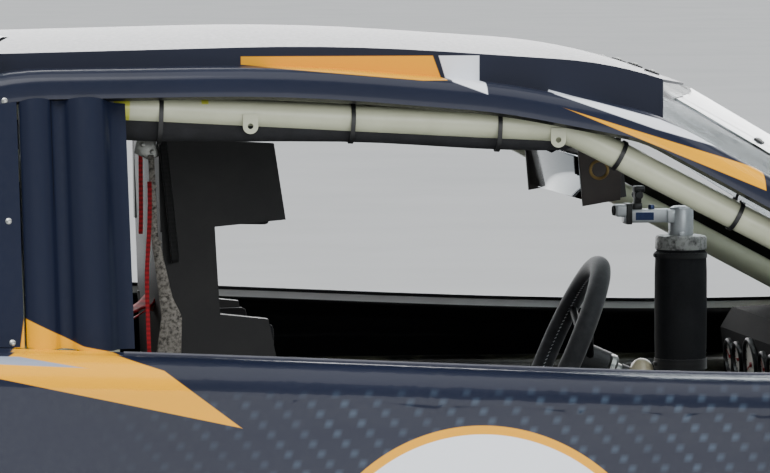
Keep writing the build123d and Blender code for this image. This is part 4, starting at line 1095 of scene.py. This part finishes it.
# Dash: round gauges ahead of the steering wheel, a switch panel to the right of them
dash = {
    "faceLow": (700.0, 702.0), "faceHigh": (690.0, 798.0), "panel": (60.0, 250.0, 78.0), "panelUp": 50.0,
    "switches": 6, "leversUp": 42.0, "lampsUp": 72.0,
    # y, height on the face, radius
    "gauges": ((400.0, 50.0, 45.0), (506.0, 50.0, 30.0), (576.0, 50.0, 30.0), (294.0, 50.0, 30.0),
               (224.0, 50.0, 30.0)),
}


def dashPlace(y, up):
    # A frame on the dash face: its Z looks back at the seat, its Y up the face
    low, high = (Vector((x, 0, z)) for x, z in (dash["faceLow"], dash["faceHigh"]))
    rise = (high - low).normalized()
    out = Vector((-1, 0, 0)) - rise * rise.dot(Vector((-1, 0, 0)))
    out.normalize()
    side = rise.cross(out)
    place = low + rise * up + Vector((0, y, 0))
    return Matrix.Translation(place) @ Matrix((side, rise, out)).transposed().to_4x4()


def addDash():
    bezels, faces, marks, needles = (bmesh.new() for i in range(4))
    for i, (y, up, r) in enumerate(dash["gauges"]):
        at = dashPlace(y, up)
        bezel = [(-2, r - 1), (-2, r + 3.4), (5, r + 3.4), (8, r + 1), (8, r - 2), (3, r - 3)]
        addShape(bezels, lathePart(bezel, steps=48), at)
        addShape(faces, lathePart([(-1, 0), (-1, r), (2.4, r), (2.4, 0)], steps=48, closed=False), at)
        for k in range(11):
            turn = math.radians(225 - 27 * k)
            mark = blockPart((r * 0.16, 1.6 if k % 5 else 2.6, 0.6), 0.0)
            mark.transform(Matrix.Rotation(turn, 4, "Z") @ Matrix.Translation((r * 0.82, 0, 2.6)))
            addShape(marks, mark, at)
        needle = slabPart([(-r * 0.2, -1.6), (r * 0.74, -0.5), (r * 0.74, 0.5), (-r * 0.2, 1.6)], 0.8)
        turn = Matrix.Rotation(math.radians(200 - 25 * i), 4, "Z")
        needle.transform(Matrix.Translation((0, 0, 3.6)) @ turn)
        addShape(needles, needle, at)
        hub = [(2.4, 0), (2.4, r * 0.1), (5, r * 0.1), (5.6, 0)]
        addShape(needles, lathePart(hub, steps=20, closed=False), at)
    finishPiece("gaugeBezels", bezels, blackPlastic, sharpDeg=30)
    finishPiece("gaugeFaces", faces, gaugeWhite, sharpDeg=30)
    finishPiece("gaugeMarks", marks, blackPlastic, sharpDeg=30)
    finishPiece("gaugeNeedles", needles, redPaint, sharpDeg=30)
    plate, levers, lamps = (bmesh.new() for i in range(3))
    y, long, tall = dash["panel"]
    addShape(plate, blockPart((long, tall, 4), 1.6, 2),
             dashPlace(y, dash["panelUp"]) @ Matrix.Translation((0, 0, 1.6)))
    for i in range(dash["switches"]):
        across = y - long / 2 + long * (i + 0.5) / dash["switches"]
        at, lamp = (dashPlace(across, dash[key]) for key in ("leversUp", "lampsUp"))
        addShape(levers, lathePart([(3, 0), (3, 9), (6, 9), (7, 6), (7, 0)], steps=6, closed=False), at)
        toggle = lathePart([(0, 0), (0, 2.4), (17, 3.2), (20, 2.6), (21, 0)], steps=14, closed=False)
        toggle.transform(Matrix.Rotation(0.35 * (1 if i % 3 else -1), 4, "X") @ Matrix.Translation((0, 0, 6)))
        addShape(levers, toggle, at)
        addShape(levers, lathePart([(3, 5), (3, 7), (5.6, 7), (6, 5)], steps=20), lamp)
        dome = [(3, 0), (3, 5.2), (6, 5), (8.6, 3), (9.4, 0)]
        addShape(lamps, lathePart(dome, steps=20, closed=False), lamp)
    finishPiece("switchPlate", plate, dashSheet, sharpDeg=30)
    finishPiece("switchLevers", levers, platedSteel, sharpDeg=30)
    finishPiece("warningLamps", lamps, redPaint, sharpDeg=50)


gaugeWhite = plainFinish("gaugeDial", "#E4E3DA", 0.5, dark="#D2D0C4", mottle=(30.0, 0.35), rough=(0.4, 0.6))
addDash()
print("dash dressed")

# Coil springs: slim coil-overs in front, short fat coils on the rear axle's perches
springs = (
    # which axle, low end, high end, coil radius, wire radius, turns, the post's reach past each end
    ("front", (1460.0, 550.0, 232.0), (1460.0, 454.0, 535.0), 29.0, 4.6, 9, 24.0, 24.0),
    ("rear", (-1334.0, 450.0, 407.0), (-1334.0, 450.0, 480.0), 42.0, 6.5, 4, 12.0, 0.0),
)
for axle, lowEnd, highEnd, radius, wire, turns, below, above in springs:
    for name, side in sides.items():
        low, high = (Vector((x, side * y, z)) for x, y, z in (lowEnd, highEnd))
        name, way, form = axle + name.capitalize() + "Spring", high - low, bmesh.new()
        addShape(form, coilPart(radius, wire, way.length, turns), alongAxis(low, way))
        finishPiece(name, form, yellowPaint, sharpDeg=60)
        form = bmesh.new()
        seat = [(-2, radius - 8), (-2, radius + wire + 1), (4, radius + wire + 1), (4, radius - 8)]
        for end, sense in ((low, -1), (high, 1)):
            addTurned(form, seat, end + way.normalized() * sense * 3, way * sense, 36, True)
        # A damper stands in each front coil and a plain post in each rear one
        neck, head = way.length * 0.6, way.length + above
        post = [(-below, 0.5), (-below, 11), (neck, 11), (neck, 6), (head, 6), (head, 0.5)]
        addTurned(form, post, low, way, 24, True)
        finishPiece(name + "Seats", form, platedSteel, sharpDeg=30)
print("springs wound")

# Fasteners: places in millimetres, each found on the body's skin along a line of sight
fastener = {"radius": 5.0, "tall": 1.8}
shell = ["nose_panel", "front_fenders", "door_skins", "rear_quarters", "tail_panel", "cowl_panel",
         "roof_rails", "roof_panel", "door_posts", "quarter_windows", "windshield", "rear_window"]


def addRivets(name, starts, look, body, names=shell, material=platedSteel):
    # One low dome where each line from a start meets the skin
    form, r, tall = bmesh.new(), fastener["radius"], fastener["tall"]
    dome = [(-1, 0), (-1, r), (0.3, r), (tall * 0.7, r * 0.72), (tall, r * 0.3), (tall, 0)]
    for start in starts:
        hit = skinPoint(names, start, look)
        if hit:
            addTurned(form, dome, *hit, 14)
    finishPiece(name, form, material, body, sharpDeg=40)


def row(start, end, count):
    return [Vector(start).lerp(Vector(end), i / (count - 1)) for i in range(count)]


sideRows = (
    # kind, first and last place (x, z), how many; seen square to the car's side
    ("screw", (-712, 1265), (-712, 904), 3), ("screw", (-1640, 1012), (-1560, 1010), 2),
    ("rivet", (-660, 330), (-660, 700), 7), ("rivet", (988, 330), (988, 720), 7),
    ("rivet", (1034, 330), (1034, 720), 7), ("rivet", (-720, 330), (-720, 700), 7),
    ("rivet", (-620, 262), (960, 262), 16), ("rivet", (2120, 330), (2120, 700), 7),
    ("rivet", (2164, 330), (2164, 700), 7), ("rivet", (-2280, 470), (-2280, 850), 7),
    ("rivet", (-2325, 470), (-2325, 850), 7),
)
# round each wheel arch: middle (x, z), radius of the row
archRows = ((1460, 358, 447), (-1334, 358, 421))
for name, side in sides.items():
    for kind in ("rivet", "screw"):
        starts = []
        for rowKind, first, last, count in sideRows:
            if rowKind == kind:
                starts += row((first[0], side * aside, first[1]), (last[0], side * aside, last[1]), count)
        for x, z, radius in archRows if kind == "rivet" else ():
            for i in range(15):
                turn = math.radians(8 + 164 * i / 14)
                starts.append((x + radius * math.cos(turn), side * aside, z + radius * math.sin(turn)))
        addRivets(f"{name}Side{kind.capitalize()}s", starts, (0, -side, 0), "chassis",
                  material=rivetEnamel if kind == "rivet" else platedSteel)
print("side fasteners set")

# Window clips and straps: black tabs round the windshield, two metal straps over the rear window
glazing = {"clipSize": (26.0, 16.0, 3.0), "topClipSize": (16.0, 26.0, 3.0), "strapWidth": 26.0,
           "strapThick": 2.5, "strapLift": 0.6, "underStrap": ["rear_window", "roof_panel", "rear_quarters"]}


def addRearStrap(name, side):
    # A thin strap that follows the skin down the rear window, found along parallel lines of sight
    sights = row((-795, side * 210, sky), (-1480, side * 230, sky), 22)
    found = [hit for hit in (skinPoint(glazing["underStrap"], sight, down) for sight in sights) if hit]
    rungs, last, high = [], len(found) - 1, glazing["strapLift"] + glazing["strapThick"] / 2
    for i, (place, normal) in enumerate(found):
        along = (found[min(i + 1, last)][0] - found[max(i - 1, 0)][0]).normalized()
        across = along.cross(normal).normalized() * glazing["strapWidth"] / 2
        rungs.append([(place + normal * high + across * share) * mm for share in (-1, -0.86, 0, 0.86, 1)])
    ribbonPiece(name, rungs, glazing["strapThick"], rolledAluminium, 50.0)


for name, side in sides.items():
    addRearStrap(name + "RearStrap", side)
form, screws, clipPlaces = bmesh.new(), [], []
for side in (-1, 1):
    clipPlaces += [(place, ["windshield"], glazing["clipSize"])
                   for place in row((356, side * 560, sky), (1010, side * 640, sky), 6)]
for i in range(7):
    clipPlaces.append(((345, -420 + 140 * i, sky), ["windshield", "roof_panel"], glazing["topClipSize"]))
for start, names, size in clipPlaces:
    hit = skinPoint(names, start, down)
    if hit:
        place, normal = hit
        addShape(form, blockPart(size, 1.2, 1), alongAxis(place + normal * 1.2, normal))
        screws.append((place + normal * 2.7, normal))
finishPiece("windowClips", form, blackPlastic, sharpDeg=30)
form = bmesh.new()
for place, normal in screws:
    addTurned(form, [(-1, 0), (-1, 5), (1.5, 4.4), (2.4, 2), (2.4, 0)], place, normal, 12)
finishPiece("clipScrews", form, platedSteel, sharpDeg=40)
print("glazing dressed")

# Hood and deck pins: a scuff plate, a post and a looped clip through it
pins = {
    "plateRadius": 21.0, "postRadius": 5.0, "postTall": 17.0, "clipRadius": 9.0,
    "hood": ((2225, -520), (2235, -180), (2235, 180), (2225, 520), (1330, -600), (1330, 600),
             (1750, -612), (1750, 612)),
    "decklid": ((-2340, -420), (-2340, 0), (-2340, 420), (-1640, -560), (-1640, 560)),
}


def addPins(body):
    plates, clips = bmesh.new(), bmesh.new()
    r, thick, tall, c = (pins[key] for key in ("plateRadius", "postRadius", "postTall", "clipRadius"))
    plate = [(-0.5, 0), (-0.5, r), (1.2, r), (2.2, r - 2), (1.4, 8), (1.4, 0)]
    post = [(0, 0), (0, thick), (tall - 2, thick), (tall, 3.4), (tall, 0)]
    for x, y in pins[body]:
        hit = skinPoint([body], (x, y, sky), down)
        if hit:
            place, normal = hit
            addTurned(plates, plate, place, normal, 28)
            addTurned(plates, post, place, normal, 16)
            ring = lathePart(circlePoints(1.3, c, 8), steps=24)
            ring.transform(Matrix.Rotation(math.radians(78), 4, "X"))
            addShape(clips, ring, alongAxis(place + normal * 11, normal)
                     @ Matrix.Translation((0, c * 0.8, 0)))
    finishPiece(body + "PinPosts", plates, platedSteel, body)
    finishPiece(body + "PinClips", clips, platedSteel, body, sharpDeg=60)


addPins("hood")
addPins("decklid")

# Fuel filler on the left rear quarter: a red dry-break valve in a plated ring; sight is where the line of
# sight that finds its place starts
filler = {"sight": (-1930.0, 1400.0, 905.0), "radius": 62.0}


def addFiller():
    place, normal = skinPoint(["rear_quarters"], filler["sight"], (0, -1, 0))
    r, form, to = filler["radius"], bmesh.new(), alongAxis(place, normal)
    ring = [(-6, r - 14), (-6, r), (2.4, r), (4, r - 3), (4, r - 11), (1, r - 14)]
    addShape(form, lathePart(ring, steps=48), to)
    for i in range(8):
        turn = 2 * math.pi * i / 8
        addShape(form, lathePart([(3.4, 0), (3.4, 3.6), (5.6, 3), (6.4, 0)], steps=10, closed=False),
                 to @ Matrix.Translation(((r - 7) * math.cos(turn), (r - 7) * math.sin(turn), 0)))
    finishPiece("fillerRing", form, platedSteel, sharpDeg=30)
    form = bmesh.new()
    valve = [(-8, 0), (-8, r - 12), (-1, r - 12), (0.4, r - 15), (0.4, 30), (-3, 27), (-3, 8), (2, 6), (2, 0)]
    addShape(form, lathePart(valve, steps=48, closed=False), to)
    finishPiece("fillerValve", form, redPaint, sharpDeg=30)


addFiller()
print("pins and filler fitted")

# Sill cap: a pale folded strip over the inner edge of each door's window sill, white on the left as a painted
# highlight and grey on the right as painted shade
sillCap = {"x0": -545.0, "x1": 960.0, "look": 812.0, "steps": 30,
           # inboard and upward from the sill's inner edge
           "section": ((3.5, -17.0), (3.5, 2.0), (2.5, 3.0), (0.5, 3.0), (0.5, -17.0))}


def addSillCap(name, side, finish):
    form, rings = bmesh.new(), []
    for i in range(sillCap["steps"]):
        x = sillCap["x0"] + (sillCap["x1"] - sillCap["x0"]) * i / (sillCap["steps"] - 1)
        top = skinPoint(["door_skins"], (x, side * sillCap["look"], 1100), down)[0]
        edge = skinPoint(["door_skins"], (x, 0, top.z - 5), (0, side, 0))[0]
        rings.append([form.verts.new((x, edge.y - side * inward, top.z + up))
                      for inward, up in sillCap["section"]])
    bridgeRings(form, [[form.edges.new(pair) for pair in zip(ring, ring[1:] + ring[:1])] for ring in rings])
    for ring in (rings[0], rings[-1]):
        form.faces.new(ring)
    whole = bmesh.new()
    addShape(whole, form)
    finishPiece(name, whole, finish, sharpDeg=30)


# Vinyl edging on the left sill: bright white, semi-matt; the white is a painted highlight, the bright band of
# light along the far sill
sillCapPaintedHighlight = plainFinish("paintedHighlightEdging", "#F4F5F5", 0.5, dark="#DCDDDC", mottle=(60.0, 0.4),
                         rough=(0.4, 0.6), grain=(1.5, 0.03))
# Vinyl edging along the right door: the same strip painted grey, as painted shade
sillCapPaintedShade = plainFinish("paintedShadeEdging", "#6E6F78", 0.5, dark="#565761", mottle=(40.0, 0.5),
                        rough=(0.4, 0.6), grain=(1.5, 0.03))
addSillCap("leftSillCap", 1, sillCapPaintedHighlight)
addSillCap("rightSillCap", -1, sillCapPaintedShade)
print("sill caps laid")

# Front and rear dressing: duct rings, tow loops, spoiler plates, braces and bolts
dressing = {"ductY": 560.0, "ductZ": 330.0, "ductRadius": 52.0, "towY": 430.0, "towIn": 22.0}


def addFront():
    form, r = bmesh.new(), dressing["ductRadius"]
    duct = [(-30, r - 3), (-30, r - 0.5), (6, r - 0.5), (6, r + 6), (8, r + 6), (8, r - 1), (5, r - 3)]
    for side in (-1, 1):
        start = (2800, side * (dressing["ductY"] + 66), dressing["ductZ"])
        reach = skinPoint(["nose_panel"], start, (-1, 0, 0))[0].x
        middle = (reach, side * dressing["ductY"], dressing["ductZ"])
        addTurned(form, duct, middle, (1, 0, 0), 40, True)
    finishPiece("ductRings", form, blackPlastic, "chassis", 30)
    form, ring = bmesh.new(), circlePoints(5, 20, 8)
    for side in (-1, 1):
        for x, z, names, look in ((2800, 300, ["nose_panel", "grille"], -1), (-2800, 420, ["tail_panel"], 1)):
            place = skinPoint(names, (x, side * dressing["towY"], z), (look, 0, 0))[0]
            addTurned(form, ring, place + Vector((look * dressing["towIn"], 0, 0)), (0, 1, 0), 28, True)
    finishPiece("towLoops", form, redPaint, sharpDeg=60)


addFront()


def addSpoilerParts():
    form = bmesh.new()
    plate = [(-2350, 1000), (-2452, 1000), (-2452, 1122), (-2436, 1128), (-2380, 1030)]
    for side in (-1, 1):
        addShape(form, slabPart(plate, 4.0, 1.0), Matrix.Translation((0, side * 610 + 2, 0)) @ edgewise)
    finishPiece("spoilerEndPlates", form, rolledAluminium, "decklid", sharpDeg=30)
    form = bmesh.new()
    for y in (-420, -140, 140, 420):
        low, lowNormal = skinPoint(["decklid"], (-2330, y, sky), down)
        high = Vector((-2428, y, 1092))
        way = high - low
        brace = [(0, 0), (0, 5), (way.length, 5), (way.length, 0)]
        addTurned(form, brace, low, way, 14)
        addShape(form, blockPart((24, 18, 4), 1.5, 2), alongAxis(low + lowNormal * 1.5, lowNormal))
        addTurned(form, [(-4, 0), (-4, 9), (4, 9), (4, 0)], high, (1, 0, 0.32), 16)
    finishPiece("spoilerBraces", form, platedSteel, "decklid", sharpDeg=40)
    starts = [(-2600, y, 985) for y in range(-560, 561, 80)]
    addRivets("spoilerBolts", starts, (1, 0, 0), "decklid", ["rear_spoiler"])


addSpoilerParts()
print("front and rear dressed")
